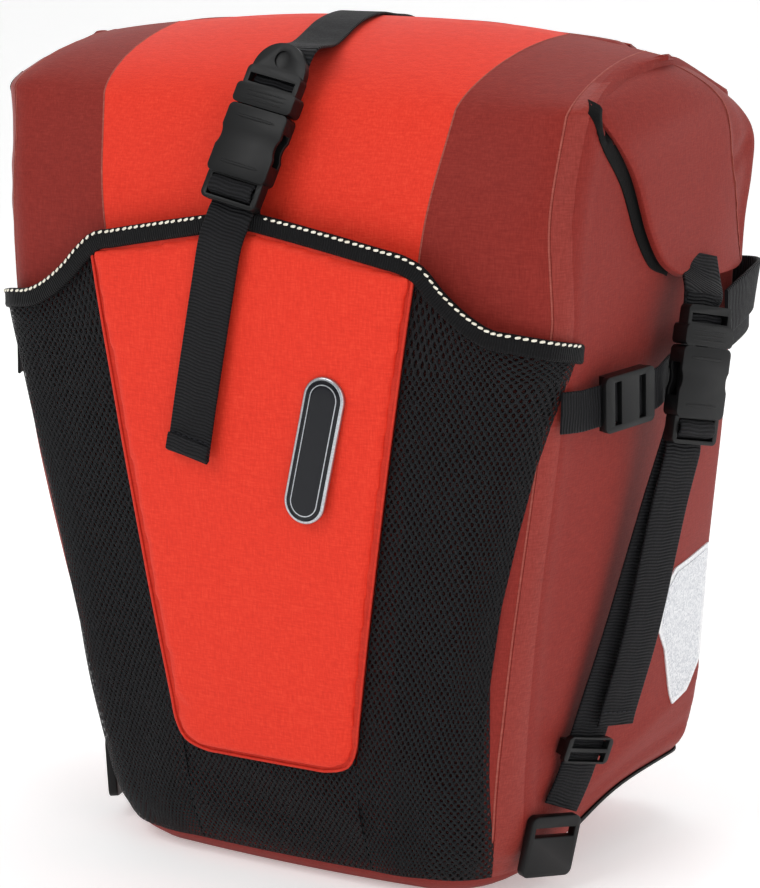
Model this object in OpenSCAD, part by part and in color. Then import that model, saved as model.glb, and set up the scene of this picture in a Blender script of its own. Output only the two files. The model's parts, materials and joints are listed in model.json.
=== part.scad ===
// Roll-top bicycle pannier bag with a mesh front pocket, seen closed.
// +Z is up, the pocket faces -Y, the rack side faces +Y, and X is the width.
// The origin is on the flat base, below the middle of the bag.

/* [Bag] */
// Height of the bag body, up to where the top begins to roll
body_h = 393; // [360:1:420]
// Width across the back at the top
bag_w = 332; // [310:1:350]
// Depth at the fullest height, from the front corners to the back panel
bag_d = 211; // [200:1:222]
// Height of the ridge above the top of the body
ridge_h = 37; // [32:1:50]
// Thickness of the coated fabric with its backing
skin_t = 2; // [1.5:0.1:3]
// How far the front face crowns forward at its middle
front_crown = 7; // [4:1:10]

/* [Pocket] */
// Height of the pocket's edge at the middle
pocket_top = 332; // [310:1:340]
// Drop of the pocket's edge from the middle to the corners
pocket_drop = 38; // [20:1:50]
// Room between the bag and the pocket
pocket_gap = 8; // [7:0.5:10]
// Thickness of the padded centre panel of the pocket
pad_t = 4; // [2:0.5:5]
// Half width of the centre panel at its top
pad_top = 90; // [70:1:100]
// Half width of the centre panel at its foot
pad_foot = 50; // [40:1:60]
// Height of the foot of the centre panel
pad_z = 66; // [50:1:90]

/* [Webbing] */
// Width of the closing straps
web_w = 25; // [20:1:25]
// Width of the compression straps
comp_w = 20; // [15:1:20]
// Thickness of the webbing
web_t = 1.6; // [1.2:0.1:2]

/* [Buckles] */
// Width of a side-release buckle
buckle_w = 34; // [33:1:36]
// Thickness of a side-release buckle
buckle_t = 9; // [8.5:0.5:10]
// Depth of the channel that the prongs slide into
channel_l = 33; // [31:1:34]
// Travel of the female part when the buckle is opened
release = 22; // [15:1:25]

/* [Rack fittings] */
// Radius of the rack tube that the upper hooks hold
tube_r = 8; // [6:0.5:8]
// Distance from the middle to each upper hook
hook_x = 75; // [60:1:85]
// Height of the rack tube above the base
tube_z = 322; // [310:1:330]
// Radius of the rack stay that the lower hook holds
stay_r = 6; // [5:0.5:6]
// Height of the lower rail
low_z = 118; // [100:1:140]
// Lift of the carry handle
handle_lift = 12; // [8:1:12]

/* [Hidden] */
$fn = 32;

bright = "#E4482F";
dark = "#933A38";
black = "#1D1D1F";
silver = "#C9CBCE";

back_y = 116;
eps = 0.01;
gap = 0.35;

// Shape of the body at rising heights: share of the height, share of the width at the front,
// share of the depth, front corner radius, share of the width at the back, back lean.
LEVELS = [
    [0.00, 0.320, 0.825, 38, 0.355, 0], [0.02, 0.352, 0.867, 40, 0.383, 0],
    [0.06, 0.367, 0.896, 38, 0.404, 0], [0.17, 0.380, 0.929, 34, 0.419, 0],
    [0.36, 0.413, 0.962, 28, 0.443, 0], [0.56, 0.449, 0.986, 25, 0.467, 0],
    [0.75, 0.476, 1.000, 24, 0.485, 0], [0.88, 0.482, 1.000, 24, 0.494, 0],
    [1.00, 0.473, 0.929, 24, 0.500, 16]
];
back_r = 18;
SEAM = 6;
BACK_CORNER = 12;
BACK_MIDDLE = 14;

function unit(v) = v / norm(v);

// The shape at height z, straight between two levels
function below(z, i = 0) = i >= len(LEVELS) - 2 || LEVELS[i + 1][0] * body_h >= z ? i : below(z, i + 1);
function shape_at(z) =
    let (i = below(z), a = LEVELS[i], b = LEVELS[i + 1], t = (z / body_h - a[0]) / (b[0] - a[0]))
    a + (b - a) * t;

// Half width of the bright centre panel at height z
function bright_x(z, half_w) =
    half_w * (0.57 + (z < pocket_top - pocket_drop ? 0 : 0.09 * (z - 294) / 99));

// Depth of the front face at a sideways place x, with the skin moved in by inset
function front_y(x, z, inset) =
    let (s = shape_at(z), half_w = s[1] * bag_w)
    back_y - s[2] * bag_d - front_crown * (1 - pow(x / half_w, 2)) + inset;

// One point of the outline, from the middle of the front (column 0) to the middle of the back
function skin(col, z, inset) =
    let (
        s = shape_at(z),
        wf = s[1] * bag_w - inset,
        yf = back_y - s[2] * bag_d + inset,
        rf = s[3] - inset,
        wb = s[4] * bag_w - inset,
        yb = back_y - s[5] - inset,
        rb = back_r - inset,
        split = bright_x(z, s[1] * bag_w),
        flat = s[1] * bag_w - s[3],
        side = (col - 8) / 3,
        bulge = 4 * side * (1 - side) * 4
    )
    col <= 2 ? [split * col / 2, front_y(split * col / 2, z, inset), z] :
    col == 3 ? [(split + flat) / 2, front_y((split + flat) / 2, z, inset), z] :
    col <= 8 ?
        let (a = 22.5 * (col - 4), crown = front_crown * (1 - pow(flat / (flat + s[3]), 2)) * cos(a))
        [wf - rf + rf * sin(a), yf + rf - rf * cos(a) - crown, z] :
    col <= 11 ? [wf + (wb - wf) * side + bulge, yf + rf + (yb - rb - yf - rf) * side, z] :
    col <= 13 ? [wb - rb + rb * cos(45 * (col - 11)), yb - rb + rb * sin(45 * (col - 11)), z] :
    [0, yb, z];

// A closed sheet between two grids of points with the same number of rows and columns
module sheet(outer, inner) {
    rows = len(outer);
    cols = len(outer[0]);
    n = rows * cols;
    quads = concat(
        [for (i = [0 : rows - 2], j = [0 : cols - 2], k = i * cols + j) [k, k + 1, k + cols + 1, k + cols]],
        [for (i = [0 : rows - 2], j = [0 : cols - 2], k = n + i * cols + j)
            [k, k + cols, k + cols + 1, k + 1]],
        [for (j = [0 : cols - 2]) [j, n + j, n + j + 1, j + 1]],
        [for (j = [0 : cols - 2], k = (rows - 1) * cols + j) [k, k + 1, n + k + 1, n + k]],
        [for (i = [0 : rows - 2]) [i * cols, (i + 1) * cols, n + (i + 1) * cols, n + i * cols]],
        [for (i = [0 : rows - 2], k = i * cols + cols - 1) [k, n + k, n + k + cols, k + cols]]
    );
    tris = [for (q = quads) each [[q[0], q[2], q[1]], [q[0], q[3], q[2]]]];
    polyhedron(concat([for (r = outer) each r], [for (r = inner) each r]), tris, convexity = 8);
}

// A closed solid through rings of points that have the same number of points
module loft(rings) {
    m = len(rings[0]);
    n = len(rings);
    walls = [for (i = [0 : n - 2], j = [0 : m - 1], k = (j + 1) % m)
        each [[i * m + j, i * m + k, (i + 1) * m + k], [i * m + j, (i + 1) * m + k, (i + 1) * m + j]]];
    ends = [[for (j = [m - 1 : -1 : 0]) j], [for (j = [0 : m - 1]) (n - 1) * m + j]];
    polyhedron([for (r = rings) each r], concat(walls, ends), convexity = 8);
}

// Webbing that follows a path of points, across is the direction of its width
module webbing(path, across, width = web_w, thick = web_t) {
    last = len(path) - 1;
    loft([for (i = [0 : last])
        let (
            along = unit(path[min(i + 1, last)] - path[max(i - 1, 0)]),
            side = unit(across - (across * along) * along),
            out = cross(side, along)
        )
        [for (c = [[1, 1], [-1, 1], [-1, -1], [1, -1]])
            path[i] + side * c[0] * width / 2 + out * c[1] * thick / 2]]);
}

// The X and Y directions of a frame whose Z is along up and whose -Y is along out
function back_axis(up, out) = let (z = unit(up)) -unit(out - (out * z) * z);
function side_axis(up, out) = cross(back_axis(up, out), unit(up));

// Places a child at origin with its Z along up and its -Y along out
module seat(origin, up, out) {
    z = unit(up);
    y = back_axis(up, out);
    x = side_axis(up, out);
    multmatrix([for (i = [0 : 2]) [x[i], y[i], z[i], origin[i]]]) children();
}

module both_sides() {
    children();
    mirror([1, 0, 0]) children();
}

module flat_plate(w, h, r) {
    offset(r) square([w - 2 * r, h - 2 * r], center = true);
}

// A plate in the XZ plane, from y = 0 out to y = -thick
module plate(w, h, r, thick) {
    rotate([90, 0, 0]) linear_extrude(thick) flat_plate(w, h, r);
}

/* ---- bag skin ---- */

body_rows = [for (l = LEVELS) l[0] * body_h];

// Part of the skin between two columns
module skin_patch(first, last, low = 0) {
    rows = [for (z = body_rows) if (z >= low) z];
    sheet(
        [for (z = rows) [for (c = [first : last]) skin(c, z, 0)]],
        [for (z = rows) [for (c = [first : last]) skin(c, z, skin_t)]]
    );
}

module front_panel() {
    function row(z, inset) = [for (c = [-2 : 2]) let (p = skin(abs(c), z, inset)) [sign(c) * p[0], p[1], z]];
    color(bright) sheet(
        [for (z = body_rows) row(z, 0)],
        [for (z = body_rows) row(z, skin_t)]
    );
}

module front_corner() {
    color(dark) skin_patch(2, SEAM);
}

module gusset() {
    color(dark) skin_patch(SEAM, BACK_CORNER);
}

// Centres of the screws that hold both rails, as [x, z]
screw_places = [for (x = [-108, -40, 40, 108]) [x, tube_z + 8], for (x = [-70, 70]) [x, low_z]];
screw_r = 2;

module screw_holes(r) {
    for (s = screw_places)
        translate([s[0], back_y + 12, s[1]]) rotate([90, 0, 0]) cylinder(r = r, h = 30);
}

module back_panel() {
    cols = [for (c = [BACK_CORNER : BACK_MIDDLE]) c];
    function row(z, inset) = concat(
        [for (c = cols) skin(c, z, inset)],
        [for (c = [BACK_MIDDLE - 1 : -1 : BACK_CORNER]) let (p = skin(c, z, inset)) [-p[0], p[1], z]]
    );
    color(dark) difference() {
        sheet([for (z = body_rows) row(z, 0)], [for (z = body_rows) row(z, skin_t)]);
        screw_holes(screw_r + gap);
    }
}

module bottom_panel() {
    half = [for (c = [0 : BACK_MIDDLE]) let (p = skin(c, 0, skin_t)) [p[0], p[1]]];
    outline = concat(half, [for (i = [BACK_MIDDLE - 1 : -1 : 1]) [-half[i][0], half[i][1]]]);
    color(dark) linear_extrude(skin_t) offset(delta = -0.2) polygon(outline);
}

// Cross-section of the rolled top at a place x, as [y, z], from the front edge to the back edge
function roll_section(x, inset) =
    let (
        drop = 0.35 * pow(abs(x) / (bag_w / 2), 4),
        h = (ridge_h - inset) * (1 - drop),
        y0 = front_y(min(abs(x), 130), body_h, inset),
        y1 = back_y - 16 - inset
    )
    [[y0, 0], [y0 + 11, 0.32 * h], [y0 + 34, 0.64 * h], [y0 + 64, 0.88 * h], [y0 + 92, h],
     [y0 + 112, 0.94 * h], [y0 + 145, 0.56 * h], [y1, 0]];

function roll_ring(x, inset, base) = [for (p = roll_section(x, inset)) [x, p[0], base + p[1]]];

roll_xs = [-1, -0.92, -0.7, -0.35, 0, 0.35, 0.7, 0.92, 1];
roll_w = 167;

module roll_top() {
    color(bright) difference() {
        loft([for (u = roll_xs) roll_ring(u * roll_w, 0, body_h + 0.2)]);
        loft([for (u = roll_xs) roll_ring(u * (roll_w - skin_t), skin_t, body_h - 0.5)]);
    }
}

// Stiff strip inside the rolled hem
module roll_stiffener() {
    color(black) translate([-145, -6, body_h + 0.62 * ridge_h]) cube([290, 20, 1.6]);
}

// Outline of the folded roll end on the side of the bag, as [y, z]
ear_outline = [
    [-58, 400], [-22, 360], [1, 330], [26, 312], [58, 306], [90, 306], [97, 330], [94, 373],
    [60, 397], [20, 409], [-12, 412]
];
ear_x = 168.5;
ear_t = 8;

module ear() {
    color(dark) translate([ear_x, 0, 0]) rotate([90, 0, 90]) linear_extrude(ear_t) polygon(ear_outline);
}

module back_stiffener() {
    color("dimgray") difference() {
        translate([-118, back_y - skin_t - 2.4, 30]) cube([236, 2, 310]);
        screw_holes(screw_r + gap);
    }
}

/* ---- front pocket ---- */

function pad_x(z) = pad_foot + (pad_top - pad_foot) * (z - pad_z) / (pocket_top - 14 - pad_z);
// Height of the pocket's edge, sinking from the middle to the pad's corner and then to the bag's
function hem_z(x) =
    let (u = abs(x))
    u < pad_top ? pocket_top - 12 * pow(u / pad_top, 1.4) :
    pocket_top - 12 - (pocket_drop - 12) * min(1, (u - pad_top) / 36);
function stand_off(z) = pocket_gap * min(1, 0.35 + 0.65 * z / 60);

// Heights at which the mesh is shaped, below its edge
pocket_rows = [10, 16, 24, 44, 66, 103, 140, 180, 220, 258];

module pocket_centre() {
    cols = [-1, -0.6, 0, 0.6, 1];
    function grid(off) = [for (i = [0 : 8]) [for (u = cols)
        let (
            guess = pad_z + i / 8 * (pocket_top - 14 - pad_z),
            x = u * pad_x(guess),
            z = pad_z + i / 8 * (hem_z(x) - pad_z)
        )
        [x, front_y(x, z, -stand_off(z) - off), z]]];
    color(bright) sheet(grid(pad_t), grid(0));
}

// Columns of the mesh: the edge of the pad, the flat front, and the corner up to the weld seam
module pocket_mesh() {
    function mesh_point(j, i, off) =
        let (
            reach = [90, 112, 134, 146, 152][j],
            z = i < len(pocket_rows) ? pocket_rows[i] : hem_z(reach),
            s = shape_at(z),
            flat = s[1] * bag_w - s[3],
            edge = z < pad_z ? pad_foot : pad_x(z) + 0.5,
            away = stand_off(z) * [1, 1, 0.9, 0.55, 0.2][j] + off
        )
        j < 2 ? let (x = edge + (flat - edge) * j / 2) [x, front_y(x, z, -away), z] :
        skin(j == 2 ? 4 : j == 3 ? 5 : SEAM, z, -away);
    function grid(off) = [for (i = [0 : len(pocket_rows)]) [for (j = [0 : 4]) mesh_point(j, i, off)]];
    color(black) sheet(grid(1.2), grid(0));
}

module pocket_mesh_foot() {
    rows = [for (r = pocket_rows) if (r < pad_z) r, pad_z - 0.4];
    function grid(off) = [for (z = rows) [for (u = [-1, -0.5, 0, 0.5, 1])
        let (x = u * (pad_foot - 0.4))
        [x, front_y(x, z, -stand_off(z) - off), z]]];
    color(black) sheet(grid(1.2), grid(0));
}

// Binding along the pocket's edge
hem_xs = [0, 30, 60, 90, 108, 126, 134];
function hem_point(x) = [x, front_y(x, hem_z(x), -stand_off(200) - 2), hem_z(x) + 6];

module pocket_hem() {
    right = [for (x = hem_xs) hem_point(x)];
    left = [for (i = [len(hem_xs) - 1 : -1 : 1]) [-right[i][0], right[i][1], right[i][2]]];
    color(black) webbing(concat(left, right), [0, 0, 1], 8, 3);
}

badge_l = 74;
badge_w = 22;

module badge() {
    x = 39;
    z = 232;
    color(black) translate([x, front_y(x, z, -pocket_gap - pad_t) - 1.5, z]) rotate([90, 12, 0])
        linear_extrude(2) offset(badge_w / 2 - 0.5) square([1, badge_l - badge_w + 1], center = true);
}

// A point on the gusset at depth y, with the skin moved out by away
function gusset_point(y, z, away) =
    let (a = skin(8, z, -away), b = skin(11, z, -away), t = (y - a[1]) / (b[1] - a[1]))
    [a[0] + (b[0] - a[0]) * t + 16 * t * (1 - t) * (t > 0 && t < 1 ? 1 : 0), y, z];

// Front edge of the reflective patch at rising heights, as [z, y]
reflector_front = [[72, 74], [92, 60], [112, 56], [132, 58], [146, 72], [152, 92]];
reflector_back = 97;

module side_reflectors() {
    function grid(away) = [for (r = reflector_front)
        [for (u = [0, 0.5, 1]) gusset_point(r[1] + (reflector_back - r[1]) * u, r[0], away)]];
    color(silver) both_sides() sheet(grid(1.2), grid(0.4));
}

// Plastic shells round the lower back corners
module edge_protectors() {
    function grid(away) = [for (z = [0, 8, 24, 34]) [for (c = [9 : 13]) skin(c, z, -away)]];
    color(black) both_sides() sheet(grid(2.2), grid(0.3));
}

/* ---- straps and buckles ---- */

// Front buckle: where its halves meet, the way up the strap, and the way out of the face
front_at = [4, -95.5, 389];
front_up = [0.2, 0.36, 0.91];
front_out = [0, -0.93, 0.37];

// Side buckle on the right, mirrored for the left
side_at = [181.5, 9.5, 276];
side_up = [0.03, 0.2, 1];
side_out = [0.94, -0.34, 0];
anchor_at = [128.4, -37, 27];
// Straight lower run of the side strap, which carries the keeper, and the way its width lies
run_top = [154, -12, 130];
run_foot = [136, -24, 58];
run_side = side_axis(side_up, side_out);

module buckle_female() {
    half_t = buckle_t / 2;
    lock_top = -channel_l - 1.5;
    color(black) difference() {
        union() {
            translate([0, 0, lock_top / 2]) plate(buckle_w, -lock_top, 3, buckle_t);
            translate([0, -1.5, lock_top - 5.5]) plate(buckle_w - 2, 15, 3, buckle_t - 3);
        }
        translate([-13.2, -half_t - 2.6, -channel_l]) cube([26.4, 5.2, channel_l + 1]);
        for (s = [-1, 1]) {
            translate([s * (buckle_w / 2 + 8), 1, -channel_l / 2]) rotate([90, 0, 0])
                cylinder(r = 9.4, h = buckle_t + 2);
            translate([s * 15 - 2.5, -half_t - 2.6, -channel_l / 2 - 8]) cube([5, 5.2, 16]);
        }
        for (z = [lock_top - 4.6, lock_top - 11])
            translate([-13, -buckle_t, z]) cube([26, buckle_t + 1, 4]);
    }
}

module buckle_male(tab) {
    half_t = buckle_t / 2;
    color(black) difference() {
        union() {
            translate([0, 0, 5.4]) plate(buckle_w, 10, 2.5, buckle_t);
            translate([0, -1.5, 13]) plate(buckle_w - 3, 14, 3, buckle_t - 3);
            translate([-2.4, -half_t - 1.8, -22]) cube([4.8, 3.6, 23]);
            if (tab) intersection() {
                translate([0, -1.5, 19]) rotate([90, 0, 0]) cylinder(r = buckle_w / 2 - 2, h = 4);
                translate([-20, -8, 17]) cube([40, 10, 20]);
            }
        }
        translate([-13, -buckle_t, 11.5]) cube([26, buckle_t + 1, 4.5]);
        if (tab) translate([0, -4.3, 26]) rotate([90, 0, 0]) cylinder(r = 4.2, h = 3);
    }
}

prong_x = 10.5;
prong_z = -2.2;

// One flexing prong, side is 1 or -1
module prong(side) {
    color(black) translate([0, 2.2 - buckle_t / 2, 0]) rotate([90, 0, 0]) linear_extrude(4.4)
        mirror([side < 0 ? 1 : 0, 0]) union() {
            translate([prong_x, prong_z]) circle(r = 2);
            polygon([[8.8, prong_z], [9.2, -12], [8, -21], [8.9, -29], [10.6, -29], [12.8, -21],
                [12.8, -12], [12.3, -10], [12.3, prong_z]]);
        }
}

// A three-bar slider round flat webbing that lies just behind it
module strap_slider(width, length) {
    color(black) {
        difference() {
            translate([0, -gap, 0]) plate(length, width + 7, 3, 3);
            for (s = [-1, 1]) translate([s * length / 4 - 2.5, -5, -width / 2 - 0.5])
                cube([5, 6, width + 1]);
        }
        for (s = [-1, 1]) {
            translate([-length / 2 + 3, -gap - eps, s > 0 ? width / 2 + gap : -width / 2 - gap - 3])
                cube([length - 6, web_t + 2 * gap + 1.6, 3]);
        }
        for (s = [-1, 1]) translate([s * (length / 2 - 5) - 2, web_t + gap, -width / 2 - gap - 2])
            cube([4, 1.6, width + 2 * gap + 4]);
    }
}

module front_seat() {
    seat(front_at, front_up, front_out) children();
}

module side_seat() {
    seat(side_at, side_up, side_out) children();
}

// A point behind or in front of a buckle, y from its back face and z along its strap
function front_local(y, z) = front_at + back_axis(front_up, front_out) * y + unit(front_up) * z;
function side_local(y, z) = side_at + back_axis(side_up, side_out) * y + unit(side_up) * z;

module top_strap() {
    color(black) webbing([
        front_local(-0.5, 11), front_local(-0.5, 18), front_local(0.5, 32),
        [6, -52, body_h + 29.5], [0, -20, body_h + 36.6], [-3, 5, body_h + 39],
        [-5, 24, body_h + 36.5], [-8, 56, body_h + 22.8], [-11, 95, body_h + 4.4], [-11.6, 104, body_h - 1],
        [-12, back_y + 1.4, body_h - 44], [-12, back_y + 1.4, body_h - 50.6]
    ], [1, 0, 0]);
}

lock_z = -channel_l - 1.5;

module front_strap() {
    color(black) webbing([
        front_local(-0.5, lock_z - 1), front_local(-0.5, lock_z - 10),
        [-6.4, -106.6, 342], [-7.4, -106, 332], [-8.2, -105, 321]
    ], side_axis(front_up, front_out));
}

module front_strap_tail() {
    color(black) webbing([
        front_local(-9, lock_z - 1.5), front_local(-9, lock_z - 12),
        [-9.6, -119, 330], [-15, -117.2, 306], [-20, -117, 280], [-26, -116.2, 250], [-31, -115.6, 226]
    ], side_axis(front_up, front_out));
}

module ear_web() {
    color(black) webbing([
        [181.8, 29, 345], [182, 24, 318], side_local(-0.5, 24), side_local(-0.5, 11)
    ], run_side);
}

module side_strap() {
    color(black) webbing([
        side_local(0.4, lock_z - 1), side_local(0.4, lock_z - 12),
        [168.5, -4, 202], run_top, (run_top + run_foot) / 2, run_foot, [131.5, -29, 43.5]
    ], run_side);
}

module side_strap_tail() {
    color(black) webbing([
        side_local(-9, lock_z - 1.5), side_local(-9, lock_z - 13),
        [172.8, -2, 201], [159.3, -7.5, 130], [149.3, -13, 84]
    ], run_side);
}

module strap_keeper() {
    run = run_top - run_foot;
    seat(run_foot + 0.22 * run, run, cross(run_side, run)) translate([0, -web_t / 2, 0])
        rotate([0, 90, 0]) strap_slider(web_w, 14);
}

module strap_anchors() {
    color(black) both_sides() seat(anchor_at, [0.15, 0.12, 1], [0.93, -0.36, 0.1])
        difference() {
            translate([0, 1, -1]) plate(33, 32, 4, 5);
            translate([-13.4, -5, 4]) cube([26.8, 7, 5]);
        }
}

// The compression strap runs from the pocket's side edge to the back corner
comp_at = [168, -43.7, 258];
comp_dir = [0.26, 0.96, 0.06];

module compression_strap() {
    color(black) webbing([
        [152.5, -90, 256], [158, -76, 256], comp_at - 21 * unit(comp_dir), comp_at + 24 * unit(comp_dir),
        [173.4, -6, 262], [173.4, 30, 269], [174.4, 80, 276], [171.5, 102, 280],
        [163, back_y + 1.2, 281], [148, back_y + 1.5, 281]
    ], [0, 0, 1], comp_w);
}

module compression_slider() {
    seat(comp_at, [0, -0.06, 1], [0.96, -0.26, 0]) translate([0, -web_t / 2, 0]) strap_slider(comp_w, 36);
}

/* ---- rack fittings ---- */

rail_y = back_y + 3.2;
rail_t = 8;
hook_y = rail_y + rail_t + gap;
tube_y = hook_y + 14;
hook_w = 32;
pin_y = hook_y + 9;
pin_z = tube_z - 21;
pin_r = 1.5;
latch_w = 12;

// A rail along X with a flat back and rounded ends
module rail(half_l, h, thick, z) {
    translate([0, back_y + 0.3 + thick, z]) rotate([90, 0, 0]) linear_extrude(thick) {
        square([2 * half_l - h, h], center = true);
        for (s = [-1, 1]) translate([s * (half_l - h / 2), 0]) circle(d = h);
    }
}

module top_rail() {
    color(black) difference() {
        rail(122, 22, rail_y + rail_t - back_y - 0.3, tube_z + 8);
        screw_holes(screw_r + 0.05);
    }
}

module hook(x) {
    color(black) difference() {
        union() {
            translate([x - hook_w / 2, hook_y, tube_z - 26]) cube([hook_w, 5, 56]);
            translate([x - hook_w / 2, tube_y, tube_z]) rotate([0, 90, 0])
                cylinder(r = tube_r + 5, h = hook_w);
            translate([x - hook_w / 2, tube_y + tube_r, tube_z - 9]) cube([hook_w, 5, 9]);
            for (s = [-1, 1]) translate([x + s * (latch_w / 2 + gap + 2.5) - 2.5, hook_y + 4, pin_z - 4.5])
                cube([5, 9.5, 9]);
            for (s = [-1, 1]) translate([x + s * 9 - 2, hook_y + 4, tube_z + 15]) cube([4, 6, 14]);
        }
        translate([x - hook_w, tube_y, tube_z]) rotate([0, 90, 0]) cylinder(r = tube_r, h = 2 * hook_w);
        translate([x - hook_w, tube_y - tube_r, tube_z - 17]) cube([2 * hook_w, 2 * tube_r, 17]);
        translate([x - hook_w, pin_y, pin_z]) rotate([0, 90, 0]) cylinder(r = pin_r + 0.02, h = 2 * hook_w);
    }
}

module latch(x) {
    color(black) difference() {
        union() {
            translate([x - latch_w / 2, pin_y, pin_z]) rotate([0, 90, 0]) cylinder(r = 3.6, h = latch_w);
            translate([x - latch_w / 2, pin_y, pin_z]) cube([latch_w, 16, 3.6]);
        }
        translate([x - latch_w, pin_y, pin_z]) rotate([0, 90, 0])
            cylinder(r = pin_r + 0.06, h = 2 * latch_w);
    }
}

module latch_pins() {
    color(silver) for (s = [-1, 1])
        translate([s * hook_x - 11, pin_y, pin_z]) rotate([0, 90, 0]) cylinder(r = pin_r, h = 22);
}

module carry_handle() {
    arm_y = hook_y + 5 + gap;
    color(black) {
        translate([-hook_x + 8, tube_y, tube_z + 63]) rotate([0, 90, 0])
            cylinder(r = 8, h = 2 * hook_x - 16);
        for (s = [-1, 1]) {
            translate([s * hook_x, tube_y, tube_z + 63]) rotate([0, 90, 0])
                cylinder(r = 9, h = 18, center = true);
            translate([s * hook_x - 6, arm_y, tube_z + 17]) cube([12, 4, 48]);
        }
    }
}

module lower_rail() {
    color(black) difference() {
        rail(92, 16, 6, low_z);
        screw_holes(screw_r + 0.05);
    }
}

low_y = back_y + 6.3 + gap;

module lower_slider() {
    color(black) difference() {
        union() {
            translate([-15, low_y, low_z - 13]) cube([30, 7, 26]);
            for (s = [-1, 1]) translate([-15, low_y - 5, s > 0 ? low_z + 8 + gap : low_z - 13])
                cube([30, 6, 5 - gap]);
        }
        translate([0, low_y + 8, low_z]) rotate([90, 0, 0]) cylinder(r = 3.04, h = 8);
    }
}

stay_y = low_y + 7 + gap + 5 + stay_r + 2;

module lower_hook() {
    y0 = low_y + 7 + gap;
    color(black) difference() {
        union() {
            translate([0, y0 + 5, low_z]) rotate([90, 0, 0]) cylinder(r = 12, h = 5);
            translate([0, stay_y, low_z - 9]) cylinder(r = stay_r + 4, h = 18);
            translate([-8, y0 + 2, low_z - 9]) cube([16, 8, 18]);
        }
        translate([0, stay_y, low_z - 20]) cylinder(r = stay_r, h = 40);
        translate([0, stay_y - stay_r + 1.5, low_z - 20]) cube([20, 2 * stay_r - 3, 40]);
        translate([0, y0 + 10, low_z]) rotate([90, 0, 0]) cylinder(r = 3.06, h = 12);
    }
}

module lower_hook_bolt() {
    color(silver) translate([0, low_y + 12.2, low_z]) rotate([90, 0, 0]) cylinder(r = 3, h = 12);
}

module rail_screws() {
    color(silver) for (s = screw_places) {
        top = s[1] == low_z ? back_y + 6.3 : rail_y + rail_t;
        translate([s[0], top, s[1]]) rotate([90, 0, 0]) cylinder(r = screw_r, h = top - back_y + 7);
        translate([s[0], back_y - skin_t - 2.6, s[1]]) rotate([90, 0, 0]) cylinder(r = 6, h = 1.6);
    }
}

front_panel();
mirror([1, 0, 0]) front_corner();  // front_corner_left
front_corner();  // front_corner_right
mirror([1, 0, 0]) gusset();  // gusset_left
gusset();  // gusset_right
back_panel();
bottom_panel();
roll_top();
roll_stiffener();
mirror([1, 0, 0]) ear();  // ear_left
ear();  // ear_right
back_stiffener();
pocket_centre();
mirror([1, 0, 0]) pocket_mesh();  // pocket_mesh_left
pocket_mesh();  // pocket_mesh_right
pocket_mesh_foot();
pocket_hem();
badge();
side_reflectors();
edge_protectors();
top_strap();
front_seat() buckle_male(true);  // front_buckle_male
front_seat() prong(-1);  // front_prong_left
front_seat() prong(1);  // front_prong_right
front_seat() buckle_female();  // front_buckle_female
front_strap();
front_strap_tail();
mirror([1, 0, 0]) ear_web();  // ear_web_left
ear_web();  // ear_web_right
mirror([1, 0, 0]) side_seat() buckle_male(false);  // side_buckle_male_left
side_seat() buckle_male(false);  // side_buckle_male_right
mirror([1, 0, 0]) side_seat() prong(1);  // side_prong_back_left
side_seat() prong(1);  // side_prong_back_right
mirror([1, 0, 0]) side_seat() prong(-1);  // side_prong_front_left
side_seat() prong(-1);  // side_prong_front_right
mirror([1, 0, 0]) side_seat() buckle_female();  // side_buckle_female_left
side_seat() buckle_female();  // side_buckle_female_right
mirror([1, 0, 0]) side_strap();  // side_strap_left
side_strap();  // side_strap_right
mirror([1, 0, 0]) side_strap_tail();  // side_strap_tail_left
side_strap_tail();  // side_strap_tail_right
mirror([1, 0, 0]) strap_keeper();  // strap_keeper_left
strap_keeper();  // strap_keeper_right
strap_anchors();
mirror([1, 0, 0]) compression_strap();  // compression_strap_left
compression_strap();  // compression_strap_right
mirror([1, 0, 0]) compression_slider();  // compression_slider_left
compression_slider();  // compression_slider_right
top_rail();
hook(-hook_x);  // hook_left
hook(hook_x);  // hook_right
latch(-hook_x);  // latch_left
latch(hook_x);  // latch_right
latch_pins();
carry_handle();
lower_rail();
lower_slider();
lower_hook();
lower_hook_bolt();
rail_screws();
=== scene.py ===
"""Looks of a closed roll-top bicycle pannier bag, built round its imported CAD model."""

import json
import logging
import math
from dataclasses import dataclass, field
from enum import Enum

import bmesh
import bpy
import numpy as np
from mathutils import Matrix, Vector


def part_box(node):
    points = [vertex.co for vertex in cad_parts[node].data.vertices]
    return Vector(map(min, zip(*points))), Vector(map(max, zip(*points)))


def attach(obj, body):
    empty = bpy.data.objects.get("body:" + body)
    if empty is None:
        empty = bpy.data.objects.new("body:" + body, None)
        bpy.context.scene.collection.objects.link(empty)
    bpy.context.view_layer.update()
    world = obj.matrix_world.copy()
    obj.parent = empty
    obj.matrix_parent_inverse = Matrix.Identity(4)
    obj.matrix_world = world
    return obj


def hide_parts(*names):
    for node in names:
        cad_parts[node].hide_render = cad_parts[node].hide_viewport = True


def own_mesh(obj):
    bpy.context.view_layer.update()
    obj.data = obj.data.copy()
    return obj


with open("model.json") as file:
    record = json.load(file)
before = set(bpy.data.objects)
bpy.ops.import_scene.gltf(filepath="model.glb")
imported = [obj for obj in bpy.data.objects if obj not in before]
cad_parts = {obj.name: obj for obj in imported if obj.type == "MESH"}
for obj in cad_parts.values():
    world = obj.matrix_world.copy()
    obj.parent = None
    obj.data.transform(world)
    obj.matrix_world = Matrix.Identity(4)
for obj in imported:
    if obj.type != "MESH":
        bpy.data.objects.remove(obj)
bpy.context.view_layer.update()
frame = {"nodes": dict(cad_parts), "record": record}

LOG = logging.getLogger("pannier")
MM = 0.001
BACK_Y = 116.0
BODY_TOP = 393.0
RIDGE_H = 36.5
RIDGE_Y = 8.0
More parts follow.
